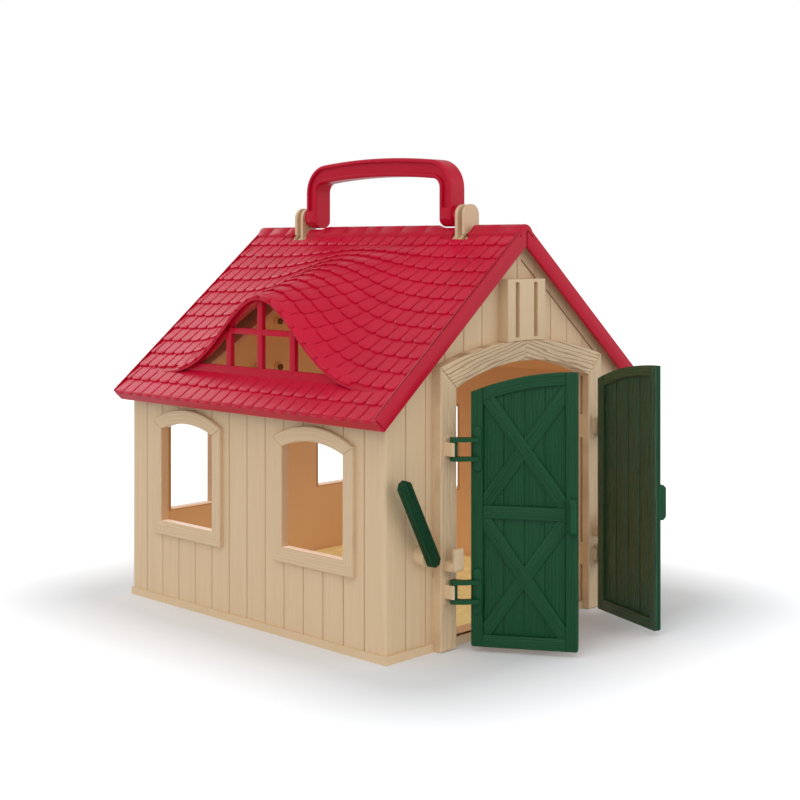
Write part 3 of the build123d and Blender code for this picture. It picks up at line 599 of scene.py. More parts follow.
def plain_plastic(name, light, dark, roughness, scale, depth, amount, specular, with_painted_light=False):
    """Smooth moulded plastic with a fine stipple and slow changes of colour and level."""
    make = Nodes(name, roughness, specular)
    clouds = make.noise("Object", (28, 28, 28), 3.0, 0.5, 0.3)
    colour = make.mix(make.ramp(clouds, 0.3, 0.72), light, dark, amount)
    stipple = make.noise("Object", (scale, scale, scale), 2.0, 0.6)
    waves = make.noise("Object", (70, 70, 70), 1.0)
    normal = make.bump(waves, 0.15, 0.0004)
    normal = make.bump(stipple, 0.5, depth, normal)
    # Where asked, painted light and glow inside the house
    if with_painted_light:
        colour = painted_inside_light(make, colour)
    return make.done(colour, normal)


def metal(name, roughness, metallic, light, dark):
    make = Nodes(name, roughness)
    make.shader.inputs["Metallic"].default_value = metallic
    marks = make.noise("Object", (900, 900, 4000), 3.0)
    return make.done(make.mix(marks, light, dark, 0.6))


def painted_glow(material, colour, strength):
    """Painted light: a little glow of the material's own, though it is no lamp."""
    shader = material.node_tree.nodes["Principled BSDF"]
    shader.inputs["Emission Color"].default_value = colour
    shader.inputs["Emission Strength"].default_value = strength


BEIGE = linear(227, 199, 161)
BEIGE_DARK = linear(196, 160, 118)
BEIGE_LINE = linear(158, 116, 78)
# Painted shade in the wall grooves: its colour, the depths over which it deepens, the deepest it reaches,
# and its share
GROOVE_SHADE = linear(160, 104, 66)
GROOVE_DEPTHS = (0.08, 0.5)
GROOVE_LIMIT = 0.7
GROOVE_SHARE = 0.85
# Painted light inside the house: a lighter warm colour low down, painted shade higher up, and a glow from
# the plastic that fades with height
INSIDE_PAINTED_LIGHT = linear(238, 204, 166)
INSIDE_PAINTED_SHADE = linear(232, 188, 142)
INSIDE_GLOW = 0.075
GLOW_COLOUR = linear(255, 190, 130)
GLOW_HEIGHTS = (40.0, 170.0)
GLOW_LOSS = 0.75
RED = linear(212, 17, 58)
RED_DARK = linear(182, 9, 42)
TRIM = linear(198, 16, 50)
GREEN = linear(17, 80, 46)
GREEN_DARK = linear(9, 50, 30)
# Inner door faces: grain whose light streaks also carry painted glints
GREEN_LIT = linear(34, 92, 54)
GREEN_DEEP = linear(4, 32, 16)
LATCH = linear(14, 74, 42)
LATCH_DARK = linear(2, 22, 12)
# Browner than the wall: painted shade in the window reveals
LINING_PAINTED_SHADE = linear(224, 184, 140)
# Paler than the wall: painted light on the window ledges
SILL_PAINTED_LIGHT = linear(250, 228, 204)
STRAW = linear(252, 232, 150)
STRAW_DARK = linear(216, 180, 96)

# Wood: two colours, grain length and width in mm, share of the streaks and their depth in metres,
# roughness, specular level, and for pressed lines their pitch in mm, stretch, wobble and share
wall_beige = wood_plastic("wall_beige", BEIGE, BEIGE_DARK, (60, 1.5), 0.16, 0.00006, 0.42, 0.4, wall=True)
board_beige = wood_plastic("board_beige", BEIGE, BEIGE_LINE, (28, 1.1), 0.12, 0.0001, 0.38, 0.4,
                           (3.0, 10, 9.0, 0.22))
frame_beige = wood_plastic("frame_beige", BEIGE, BEIGE_LINE, (28, 1.1), 0.08, 0.00006, 0.38, 0.4,
                           (2.6, 10, 8.0, 0.14))
arch_beige = wood_plastic("arch_beige", BEIGE, BEIGE_LINE, (22, 1.5), 0.15, 0.00015, 0.42, 0.4,
                          (2.6, 8, 10.0, 0.66))
board_green = wood_plastic("board_green", GREEN, GREEN_DARK, (26, 1.0), 0.25, 0.00012, 0.36, 0.25,
                           (2.1, 10, 7.0, 0.2))
# Grain on the inner door faces, with painted glints in its lighter streaks
grain_and_glint_green = wood_plastic("grain_and_glint_green", GREEN_LIT, GREEN_DEEP, (26, 1.0), 0.3, 0.0004, 0.34, 0.7,
                           (1.9, 10, 8.0, 0.75))
latch_green = wood_plastic("latch_green", LATCH, LATCH_DARK, (26, 1.0), 0.3, 0.0003, 0.36, 0.18,
                           (1.7, 12, 6.0, 0.85))
straw_yellow = wood_plastic("straw_yellow", STRAW, STRAW_DARK, (16, 1.2), 0.6, 0.0003, 0.6, 0.5)
# Painted light: the straw glows a little to look brighter
painted_glow(straw_yellow, linear(255, 232, 168), 0.24)

# Plain: two colours, roughness, scale of the stipple and its depth in metres, share of the second colour,
# specular level
lining_beige_painted_shade = plain_plastic("lining_beige_painted_shade", LINING_PAINTED_SHADE, BEIGE_DARK, 0.2, 1800, 0.00002, 0.3, 0.4)
sill_beige_painted_light = plain_plastic("sill_beige_painted_light", SILL_PAINTED_LIGHT, BEIGE, 0.14, 1800, 0.00002, 0.15, 0.6)
smooth_beige = plain_plastic("smooth_beige", BEIGE, BEIGE_DARK, 0.42, 1800, 0.00003, 0.12, 0.4)
# Beige with the painted light and glow inside the house
inside_beige_painted_light = plain_plastic("inside_beige_painted_light", BEIGE, BEIGE_DARK, 0.42, 1800, 0.00003, 0.12, 0.4, True)
tile_red = plain_plastic("tile_red", RED, RED_DARK, 0.32, 1500, 0.00009, 0.4, 0.24)
trim_red = plain_plastic("trim_red", TRIM, RED_DARK, 0.32, 1800, 0.00003, 0.3, 0.22)
smooth_green = plain_plastic("smooth_green", GREEN, GREEN_DARK, 0.34, 1800, 0.00003, 0.3, 0.25)
# Painted light: the sills glow a little
painted_glow(sill_beige_painted_light, linear(255, 226, 206), 0.3)

steel = metal("screw_steel", 0.32, 1.0, linear(190, 190, 194), linear(150, 150, 156))
# Painted shade: a darker, browner copy of the steel for the screws seen inside the house
steel_painted_shade = metal("steel_painted_shade", 0.4, 0.7, linear(120, 88, 66), linear(92, 64, 48))


def paint(material, *names):
    """Give carried-over CAD nodes a better material."""
    for name in names:
        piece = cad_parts[name]
        piece.data.materials.clear()
        piece.data.materials.append(material)


paint(wall_beige, "left_wall", "right_wall", "front_gable", "back_gable")
paint(inside_beige_painted_light, "floor_pan", "roof_left_liner", "roof_right_liner")
paint(steel, "roof_left_screws", "roof_right_screws", "handle_pins")
paint(steel_painted_shade, "back_gable_screws")
paint(smooth_green, "door_left_pull", "door_right_pull")


# Tiled roof halves


def bell(y):
    return math.exp(-((y - DORMER_Y) / DORMER_SPREAD) ** 2 / 2)


def roof_z(x, y, hood):
    """Height of the tile plane, with the dormer hood where asked, at a distance from the ridge."""
    z = APEX - SLOPE * x
    if hood:
        z += DORMER_RISE * max(x - DORMER_START, 0) * bell(y)
    return z


def lean(x, y):
    """How far a seam moves along Y per unit of X, so that it crosses the rows squarely on the hood."""
    along = -SLOPE + DORMER_RISE * bell(y)
    across = -DORMER_RISE * max(x - DORMER_START, 0) * bell(y) * (y - DORMER_Y) / DORMER_SPREAD ** 2
    return -along * across / (1 + across ** 2)


def tile(shape, side, low, high, y_from, y_to, hood, anchor=None):
    """One tile with rounded lower corners, its edges rolled down into the gaps."""
    half = (y_to - y_from) / 2
    middle = (y_to + y_from) / 2
    edge = min(TILE_EDGE, half * 0.3)
    corner = min(TILE_CORNER, half * 0.6)
    columns = [-half, -half + edge, -half + corner * 0.45, -half + corner, 0,
               half - corner, half - corner * 0.45, half - edge, half]
    shares = (0.0, 0.05, 0.16, 0.4, 0.7, 1.0)
    centre_x = (low if anchor is None else anchor) - COURSE / 2
    points = []
    for row, share in enumerate(shares):
        for column, v in enumerate(columns):
            into = max(corner - (half - abs(v)), 0) / corner
            start = low - corner * (1 - math.sqrt(max(1 - into ** 2, 0)))
            x = start + (high - start) * share
            drop = COURSE_STEP * (low - x) / COURSE
            if row == 0 or column in (0, len(columns) - 1):
                drop += TILE_ROLL[0]
            elif row == 1:
                drop += TILE_ROLL[1]
            y = middle + v
            if hood:
                y += lean(x, y) * (x - centre_x)
            points.append((side * x, y, roof_z(x, y, hood) - drop))
    width = len(columns)
    faces = skin(width, len(shares), closed=False)
    border = list(range(width)) + [r * width + width - 1 for r in range(1, len(shares))]
    border += [(len(shares) - 1) * width + c for c in range(width - 2, -1, -1)]
    border += [r * width for r in range(len(shares) - 2, 0, -1)]
    first = len(points)
    centre = points[2 * width + width // 2]
    for index in border:
        x, y, _ = points[index]
        back = TILE_UNDERCUT if index < width else 0.0
        y += 0.25 * (1 if y < centre[1] else -1)
        points.append((x - side * back, y, roof_z(abs(x) - back, y, hood) - DECK_DROP - 0.5))
    for index in range(len(border)):
        after = (index + 1) % len(border)
        faces.append((border[index], border[after], first + after, first + index))
    shape.add(points, faces)


def in_notch(y):
    return NOTCH[0] < abs(y - HANDLE_Y) < NOTCH[1]


def tile_field(shape, side, with_dormer):
    """All courses of one roof half, staggered by half a tile from course to course."""
    pitch = (FIELD[1] - FIELD[0]) / TILES
    for course in range(COURSES):
        low = EAVE_X - 0.1 - course * COURSE
        stagger = (course % 2) * 0.5
        for index in range(TILES + (course % 2)):
            y_from = max(FIELD[0] + (index - stagger) * pitch + TILE_GAP / 2, FIELD[0] + 0.1)
            y_to = min(FIELD[0] + (index + 1 - stagger) * pitch - TILE_GAP / 2, FIELD[1] - 0.1)
            centre = (y_from + y_to) / 2
            high = low - COURSE - TILE_LAP
            if course == COURSES - 1:
                high = TOP_COURSE_X
                if in_notch(y_from) or in_notch(y_to) or in_notch(centre):
                    high = NOTCH_X
            tile(shape, side, low, high, y_from, y_to, with_dormer and course > 1)
            lip_height = roof_z(LIP_X, centre, True) - roof_z(LIP_X, centre, False)
            if with_dormer and course == 1 and lip_height > LIP_LEAST:
                tile(shape, side, LIP_X, high, y_from, y_to, True, low)


def deck(shape, side, x_from, x_to, hood, y_from=ROOF_FRONT + 0.5, y_to=ROOF_BACK - 0.5, top=DECK_DROP):
    """Closed sheet under the tiles."""
    x_steps = 12
    y_steps = max(int((y_to - y_from) / 2.7), 2)
    points = []
    for drop in (top, DECK_UNDER):
        for i in range(x_steps + 1):
            x = x_from + (x_to - x_from) * i / x_steps
            for j in range(y_steps + 1):
                y = y_from + (y_to - y_from) * j / y_steps
                points.append((side * x, y, roof_z(x, y, hood) - drop))
    row = y_steps + 1
    layer = row * (x_steps + 1)
    faces = skin(row, x_steps + 1, closed=False)
    faces += [tuple(layer + i for i in face) for face in faces]
    for j in range(y_steps):
        for i in (0, x_steps):
            a = i * row + j
            faces.append((a, a + 1, layer + a + 1, layer + a))
    for i in range(x_steps):
        for j in (0, y_steps):
            a = i * row + j
            faces.append((a, a + row, layer + a + row, layer + a))
    shape.add(points, faces)


def boards(shape, side):
    """Rake boards at both ends and the slanted board along the eave."""
    top_x, top_z = EAVE_X, roof_z(EAVE_X, 0, False)
    foot_x, foot_z = top_x - EAVE_CUT[0], top_z - EAVE_CUT[1]
    ridge = (side * ROOF_SPLIT, APEX + 0.1)
    corner = (side * top_x, top_z + 0.2)
    rake = [ridge, corner, (side * foot_x, foot_z), (side * (foot_x - EAVE_FLAT), foot_z),
            (side * ROOF_SPLIT, APEX - RAKE_DROP)]
    rake = rounded(rounded(rake, 2, EAVE_ROUND, 6), 1, TOP_ROUND)
    panel(shape, rake, 0, RAKE, RAKE_BEVEL, lambda a, b, h: (a, ROOF_FRONT + RAKE - h, b))
    top = (side * ROOF_SPLIT, APEX - DECK_UNDER + 0.6)
    strip = [ridge, corner, (side * (top_x - 2.4), top_z - 2.4), top]
    reach = FIELD[0] - ROOF_FRONT - 0.5
    panel(shape, strip, 0, reach, 0.5, lambda a, b, h: (a, ROOF_FRONT + 0.4 + h, b))
    back = [ridge, corner, (side * (top_x - 3.3), top_z - 3.4), (side * ROOF_SPLIT, APEX - BACK_DROP)]
    reach = ROOF_BACK - FIELD[1] - 0.2
    back = rounded(back, 1, TOP_ROUND)
    panel(shape, back, 0, reach, 0.8, lambda a, b, h: (a, FIELD[1] + 0.2 + h, b))
    section = [(top_x, top_z + 0.15), (foot_x, foot_z), (foot_x - EAVE_FLAT, foot_z),
               (foot_x - EAVE_FLAT, foot_z + 2.3), (top_x - 3.45, top_z + 1.2)]
    section = rounded(rounded(section, 1, EAVE_ROUND), 0, 0.5, 3)
    points = []
    for y in (ROOF_FRONT + RAKE_BEVEL, ROOF_BACK - 1.0):
        points.extend((side * x, y, z) for x, z in section)
    shape.add(points, capped(len(section), 2), [(p[1], p[2]) for p in points])


def cap_outline(y, sink):
    """Half of the ridge cap's outline in X and Z at one Y, sunk a little at the joints."""
    away = abs(y - HANDLE_Y)
    reach = min(max((away - RECESS[0]) / (RECESS[1] - RECESS[0]), 0), 1) if away < NOTCH[1] else 0
    ceiling = RIDGE_TOP + (RECESS_Z - RIDGE_TOP) * reach
    points = [(ROOF_SPLIT, RIDGE_TOP)]
    for angle in range(12, 61, 12):
        turn = math.radians(angle)
        points.append((CAP_RADIUS * math.sin(turn), RIDGE_TOP - CAP_RADIUS * (1 - math.cos(turn))))
    foot = roof_z(CAP_HALF, 0, False)
    points += [CAP_SHOULDER, (CAP_HALF, foot + 0.1)]
    points = [(x, min(z, ceiling) - sink * 0.6) for x, z in points]
    return points + [(CAP_HALF - sink * 0.4, foot - 2.2), (ROOF_SPLIT, APEX - DECK_UNDER)]


def ridge_caps(shape, side):
    """Half of the ridge cap, one closed piece between two joints, left out around the ears."""
    plain = [ROOF_FRONT - 0.5, ROOF_BACK] + NOTCH_ENDS
    joints = [y for y in CAP_JOINTS if not in_notch(y)]
    cuts = sorted(plain + joints)
    for start, end in zip(cuts, cuts[1:]):
        if in_notch((start + end) / 2):
            continue
        stations = [(start + 0.15, 0.9), (start + 0.8, 0.0)]
        if start < ROOF_FRONT:
            stations = [(start, 2.4), (start + 0.5, 1.2), (start + 1.3, 0.4), (start + 2.4, 0.0)]
        last = [(end - 0.8, 0.0), (end - 0.15, 0.9)]
        if end >= ROOF_BACK:
            last = [(end - 1.6, 0.0), (end - 0.6, 0.5), (end, 1.6)]
        edges = [HANDLE_Y + s * r for s in (-1, 1) for r in RECESS]
        between = [(y, 0.0) for y in sorted(edges) if start + 1 < y < end - 1]
        stations = stations + between + last
        points = []
        for order, (y, sink) in enumerate(stations):
            slanted = (start in joints and order < 2) or (end in joints and order >= len(stations) - 2)
            for x, z in cap_outline(y, sink):
                shift = CAP_SLANT * (min(x, CAP_HALF) / CAP_HALF) ** 2 if slanted else 0.0
                points.append((side * x, y + shift, z))
        shape.add(points, capped(len(points) // len(stations), len(stations)))


for side, label in ((-1, "left"), (1, "right")):
    body = "roof_left" if side < 0 else "house"
    tiles = Shape()
    tile_field(tiles, side, side < 0)
    tiles.finish(f"roof_{label}_tiles", body, tile_red, "roof_red", (), 40)
    trim = Shape()
    y_marks = [ROOF_FRONT + 0.5] + NOTCH_ENDS + [ROOF_BACK - 0.5]
    for y_from, y_to in zip(y_marks[0::2], y_marks[1::2]):
        deck(trim, side, DECK_START, NOTCH_X + 0.1, False, y_from, y_to)
    if side < 0:
        deck(trim, side, NOTCH_X, LIP_X - 0.5, True)
        deck(trim, side, PANE_X + 0.5, EAVE_X - DECK_END, False)
    else:
        deck(trim, side, NOTCH_X, EAVE_X - DECK_END, False)
    for x in SCREW_X:
        for y in SCREW_Y:
            ends = (x - SCREW_COVER, x + SCREW_COVER, False, y - SCREW_COVER, y + SCREW_COVER)
            deck(trim, side, *ends, SCREW_DROP)
    boards(trim, side)
    ridge_caps(trim, side)
    trim.finish(f"roof_{label}_deck", body, trim_red, "roof_red", (f"roof_{label}_shell",), 40)


# Dormer window: a bell shaped border on a sill, three upright bars and one cross bar


def hood_under(y, drop):
    """Height under the hood at the window, drawn in by a distance measured square to its line."""
    rise = (roof_z(PANE_X, y + 0.1, True) - roof_z(PANE_X, y - 0.1, True)) / 0.2
    return roof_z(PANE_X, y, True) - HOOD_THICK - drop * math.sqrt(1 + rise ** 2)


def hood_reach(z, sign, drop):
    """Where the line under the hood comes down to a height, on one side."""
    near, far = 0.0, 3 * DORMER_SPREAD
    for _ in range(30):
        middle = (near + far) / 2
        if hood_under(DORMER_Y + sign * middle, drop) > z:
            near = middle
        else:
            far = middle
    return DORMER_Y + sign * near


def dormer_frame():
    """Border, sill and bars in the mouth of the hood."""
    shape = Shape()

    def place(a, b, h):
        return (-PANE_X + PANE_DEPTH - h, a, b)

    ends = [hood_reach(PANE_SILL - 1.0, sign, 2.0) for sign in (-1, 1)]
    ys = [ends[0] + (ends[1] - ends[0]) * i / 36 for i in range(37)]
    inner = [(y, hood_under(y, PANE_BORDER)) for y in ys]
    outer = [(y, hood_under(y, 0.0)) for y in ys]
    ribbon(shape, inner, outer, 0, PANE_DEPTH, PANE_BEVEL, place)
    foot = roof_z(PANE_X, 0, False) - 2.4
    reach = [hood_reach(PANE_SILL - 2.6, sign, 0.4) for sign in (-1, 1)]
    sill = [(reach[0], foot), (reach[1], foot), (reach[1] - 2.4, PANE_SILL), (reach[0] + 2.4, PANE_SILL)]
    panel(shape, sill, 0, PANE_DEPTH, PANE_BEVEL, place)
    for middle in MULLIONS:
        a, b = middle - MULLION_HALF, middle + MULLION_HALF
        bar = [(a, PANE_SILL - 1), (b, PANE_SILL - 1), (b, hood_under(b, 1.0)), (a, hood_under(a, 1.0))]
        panel(shape, bar, 0, PANE_DEPTH, PANE_BEVEL, place, 90)
    low, high = TRANSOM
    cross = [(MULLIONS[0], low), (MULLIONS[-1], low), (MULLIONS[-1], high), (MULLIONS[0], high)]
    panel(shape, cross, 0.2, PANE_DEPTH - 0.2, PANE_BEVEL, place)
    return shape


dormer_frame().finish("dormer_bars", "roof_left", trim_red, "roof_red", ("dormer_window",), 40)


# Carrying handle


def handle_path(reach, top, corner, foot):
    """Outline of the handle in Y and Z, from one leg's foot over the bar to the other's."""
    radius = (HANDLE_OUTER ** 2 + HANDLE_CROWN ** 2) / (2 * HANDLE_CROWN)
    slant = math.asin((reach - corner) / radius)
    join_y = reach - corner * (1 - math.sin(slant))
    join_z = top - radius + math.sqrt(radius ** 2 - join_y ** 2)
    half = [(reach, foot), (reach, PIVOT_Z + 8), (reach, PIVOT_Z + 16)]
    for index in range(9):
        turn = (math.pi / 2 - slant) * index / 8
        drop = corner * (math.cos(slant) - math.sin(turn))
        half.append((reach - corner * (1 - math.cos(turn)), join_z - drop))
    for index in range(1, 6):
        y = join_y * (1 - index / 6)
        half.append((y, top - radius + math.sqrt(radius ** 2 - y ** 2)))
    whole = half + [(0, top)] + [(-y, z) for y, z in half[::-1]]
    return [(HANDLE_Y + y, z) for y, z in whole]


def handle_ring(x, draw, foot):
    outer = handle_path(HANDLE_OUTER - draw, HANDLE_TOP - draw, HANDLE_CORNER - draw, foot)
    under = HANDLE_TOP - HANDLE_BAR + draw
    inner = handle_path(HANDLE_INNER + draw, under, HANDLE_INNER_CORNER + draw, foot)
    return [(x, y, z) for y, z in outer + inner[::-1]]


def handle_mesh():
    """One skin around the handle, sunk to a channel along both broad faces, and two round hubs."""
    rings = []
    for x in (0.0, 2.0, 3.6, 5.0, LEG - HANDLE_EDGE, 6.5, 6.95, 7.3, 7.52, LEG):
        over = max(x - LEG + HANDLE_EDGE, 0)
        draw = HANDLE_EDGE - math.sqrt(HANDLE_EDGE ** 2 - over ** 2)
        rings.append((x, draw, PIVOT_Z - math.sqrt(LEG ** 2 - x ** 2)))
    channel = [(LEG, 2.4, PIVOT_Z + 4.4), (LEG - 0.3, 2.75, PIVOT_Z + 4.8), (LEG - 2.0, 3.0, PIVOT_Z + 5.1)]
    half = rings + channel
    stations = [(-x, draw, foot) for x, draw, foot in half[:0:-1]] + half
    points = []
    for x, draw, foot in stations:
        points.extend(handle_ring(x, draw, foot))
    count = len(points) // len(stations)
    faces = skin(count, len(stations))
    for first in (0, len(points) - count):
        last = first + count - 1
        for index in range(count // 2 - 1):
            faces.append((first + index, first + index + 1, last - index - 1, last - index))
    shape = Shape()
    shape.add(points, faces, [(p[1], p[2]) for p in points])
    for sign in (-1, 1):
        start = HANDLE_Y + sign * (HANDLE_OUTER - 1)
        panel(shape, circle(HUB_RADIUS, 15), 0, HUB_LENGTH, 0.5,
              lambda a, b, h, s=sign, y=start: (a, y + s * h, PIVOT_Z + b))
    return shape


handle_mesh().finish("handle_bar", "handle", trim_red, "roof_red", ("handle_grip",), 40)


# Window frames


def window_frame(place, centre, half):
    """Arched head board, and one mitred board down both sides."""
    shape = Shape()
    outer_half = half + WINDOW_RIM
    inner_top = arc(centre, half, WINDOW_SPRING, WINDOW_PEAK, 12)
    outer_top = arc(centre, outer_half, WINDOW_SHOULDER, WINDOW_TOP, 12)
    ribbon(shape, inner_top, outer_top, 0, WINDOW_PROUD, 0.5, place)
    inner = []
    outer = []
    for sign, order in ((-1, 1), (1, -1)):
        across = sign * half
        inner += [(centre + across, WINDOW_SPRING), (centre + across, WINDOW_SILL)][::order]
        across = sign * outer_half
        outer += [(centre + across, WINDOW_SHOULDER), (centre + across, WINDOW_FOOT)][::order]
    ribbon(shape, inner, outer, 0, WINDOW_PROUD, 0.5, place)
    return shape


def opening(centre, half, low, spring, peak, count):
    """Outline of an arched opening, from one foot to the other."""
    return [(centre - half, low)] + arc(centre, half, spring, peak, count) + [(centre + half, low)]


def window_lining(shape, place, centre, half):
    """Closed ring along the inside of a window opening."""
    half -= LINING_GAP
    hole = opening(centre, half, WINDOW_SILL + LINING_GAP, WINDOW_SPRING, WINDOW_PEAK - LINING_GAP, 12)
    wide = opening(centre, half + SLEEVE, WINDOW_SILL - SLEEVE, WINDOW_SPRING + SLEEVE,
                   WINDOW_PEAK + SLEEVE, 12)
    sleeve(shape, hole, wide, -WALL, WINDOW_PROUD - 0.5, place)


def window_sill(shape, place, centre, half):
    """Thin bright strip on the lower edge of the opening; its brightness is painted light."""
    half -= 0.4
    low = WINDOW_SILL - SLEEVE * 0.5
    high = WINDOW_SILL + SILL_PROUD
    strip = [(centre - half, low), (centre + half, low), (centre + half, high), (centre - half, high)]
    panel(shape, strip, -WALL - 0.2, WINDOW_PROUD - 0.8, 0.1, place)


def sleeve(shape, hole, wide, low, high, place):
    """Closed ring lining an opening through a wall."""
    count = len(hole)
    points = []
    for height in (low, high):
        points.extend(place(a, b, height) for a, b in hole)
        points.extend(place(a, b, height) for a, b in wide)
    faces = []
    for i in range(count):
        j = (i + 1) % count
        faces.append((i, j, 2 * count + j, 2 * count + i))
        faces.append((count + i, count + j, 3 * count + j, 3 * count + i))
        faces.append((i, j, count + j, count + i))
        faces.append((2 * count + i, 2 * count + j, 3 * count + j, 3 * count + i))
    grain = [(b, a) for height in (low, high) for ring in (hole, wide) for a, b in ring]
    shape.add(points, faces, grain)


def side_place(side):
    return lambda a, b, h: (side * (WALL_X + h), a, b)


def back_place(a, b, h):
    return (a, BACK_Y + h, b)


def front_place(a, b, h):
    return (a, FRONT_Y - h, b)


linings = Shape()
sills = Shape()


def window(node, place, centre, half):
    made = window_frame(place, centre, half)
    made.finish(node + "_boards", "house", frame_beige, "barn_beige", (node,))
    window_lining(linings, place, centre, half)
    window_sill(sills, place, centre, half)


for side, side_name in ((-1, "left"), (1, "right")):
    for centre, end_name in zip(SIDE_WINDOW_Y, ("front", "rear")):
        window(f"window_frame_{side_name}_{end_name}", side_place(side), centre, WINDOW_HALF)
    window(f"window_frame_back_{side_name}", back_place, side * BACK_WINDOW_X, BACK_WINDOW_HALF)
sills.finish("window_sills", "house", sill_beige_painted_light, "barn_beige")
linings.finish("window_linings", "house", lining_beige_painted_shade, "barn_beige")


# Door frame with its hinge clips and latch hooks


def hinge_clip(shape, side, height):
    """Open hook around the hinge pin, on a foot and a pad."""

    def place(a, b, h):
        return (side * (PIN_X - a), PIN_Y + b, height + h)

    bore = circle(CLIP_BORE, 15, -230, -139)
    ribbon(shape, bore, circle(CLIP_RADIUS, 15, -230, -139), -CLIP_HALF, CLIP_HALF, 0.4, place)
    foot = [(-3.8, 0.2), (-1.95, 0.2), (-1.7, 1.4), (0.0, 2.3), (1.9, 2.6), (3.2, 3.2), (3.7, 5.4),
            (-3.8, 5.4)]
    panel(shape, foot, -CLIP_HALF, CLIP_HALF, 0.4, place)
    pad = [(-4.6, 4.5), (4.4, 4.5), (4.4, 5.4), (-4.6, 5.4)]
    panel(shape, pad, -PAD_HALF, PAD_HALF, 0.3, place)


def latch_hook(shape, side):
    """Hook that a swung down latch bar drops into, drawn as a side profile."""
    back = FRONT_Y - FRAME_PROUD + 0.1
    lip_back = HOOK_FRONT + HOOK_LIP
    shelf_end = HOOK_FRONT + 2.0
    shelf = [(back, HOOK_LOW), (shelf_end, HOOK_LOW), (shelf_end, HOOK_SHELF), (back, HOOK_SHELF)]
    lip = [(lip_back, HOOK_LOW), (HOOK_FRONT, HOOK_LOW), (HOOK_FRONT, HOOK_TOP), (lip_back, HOOK_TOP)]
    lip = rounded(rounded(lip, 2, 1.3), 1, 2.5, 6)
    for part in (shelf, lip):
        panel(shape, part, HOOK_X[0], HOOK_X[1], 0.6, lambda a, b, h: (side * h, a, b), 90)


door_frame = Shape()
for sign in (-1, 1):
    jamb_inner = [(sign * DOOR_HALF, FRAME_FOOT), (sign * DOOR_HALF, DOOR_SPRING)]
    jamb_outer = [(sign * FRAME_HALF, FRAME_FOOT), (sign * FRAME_HALF, FRAME_SPRING)]
    ribbon(door_frame, jamb_inner, jamb_outer, SLOT_WIDTH, FRAME_PROUD, 0.7, front_place)
    marks = [PAN_Z] + [z for slot in REVEAL_SLOTS for z in slot][1:] + [FRAME_SPRING]
    for index, (low, high) in enumerate(zip(marks, marks[1:])):
        inner = sign * (DOOR_HALF + (SLOT_DEPTH if index % 2 == 0 else 0.0))
        outer = sign * (FRAME_HALF - 0.05)
        ribbon(door_frame, [(inner, low), (inner, high)], [(outer, low), (outer, high)], 0.0, SLOT_WIDTH,
               0.05, front_place)
door_frame.finish("door_frame_posts", "house", board_beige, "barn_beige", ("door_frame",))

arch = Shape()
for sign in (-1, 1):
    inner = arc(0, DOOR_HALF, DOOR_SPRING, DOOR_PEAK, 14, sign, 0)
    outer = arc(0, FRAME_HALF, FRAME_SPRING, FRAME_PEAK, 14, sign, 0)
    ribbon(arch, inner, outer, 0, FRAME_PROUD, 0.5, front_place, -sign * 14)
arch.finish("door_frame_arch", "house", arch_beige, "barn_beige")

fittings = Shape()
rings = [opening(0, DOOR_HALF + extra, PAN_Z, DOOR_SPRING + extra, DOOR_PEAK + extra, 20)
         for extra in (0.0, DOOR_SLEEVE)]
sleeve(fittings, rings[0], rings[1], -WALL, 0.0, front_place)
for sign in (-1, 1):
    for height in HINGE_Z:
        hinge_clip(fittings, sign, height)
    latch_hook(fittings, sign)
fittings.finish("door_frame_fittings", "house", smooth_beige, "barn_beige")


# Doors, drawn closed in the left door's own plane: along from the pin, up, and out from the leaf middle


def door_place(side_name, depth_at, facing):
    """Point on a leaf, turned about its hinge to where the photo has it."""
    turn = -math.radians(OPEN_ANGLES[side_name])
    sign = -1 if side_name == "left" else 1

    def place(a, b, h):
        depth = depth_at + facing * h
        x = -PIN_X + a * math.cos(turn) - depth * math.sin(turn)
        y = PIN_Y + a * math.sin(turn) + depth * math.cos(turn)
        return (x if sign < 0 else -x, y, b)

    return place


def leaf_top(s, drop=0.0):
    """Height of the arched leaf top at a distance from the pin."""
    x = s - PIN_X
    rise = LEAF_PEAK - LEAF_SPRING
    half = PIN_X - LEAF_LOW
    radius = (half ** 2 + rise ** 2) / (2 * rise)
    return LEAF_PEAK - radius + math.sqrt((radius - drop) ** 2 - x ** 2)


def leaf_arc(low, high, drop=0.0):
    """Points along the arched leaf top, between two distances from the pin."""
    along = [low + (high - low) * i / 10 for i in range(11)]
    return [(s, leaf_top(s, drop)) for s in along]


def leaf_outline(low, high, foot, drop, corner=0.0):
    outline = [(low, foot), (high, foot)] + leaf_arc(high, low, drop)
    if corner:
        outline = rounded(outline, 1, corner)
        outline = rounded(outline, 0, corner)
    return outline


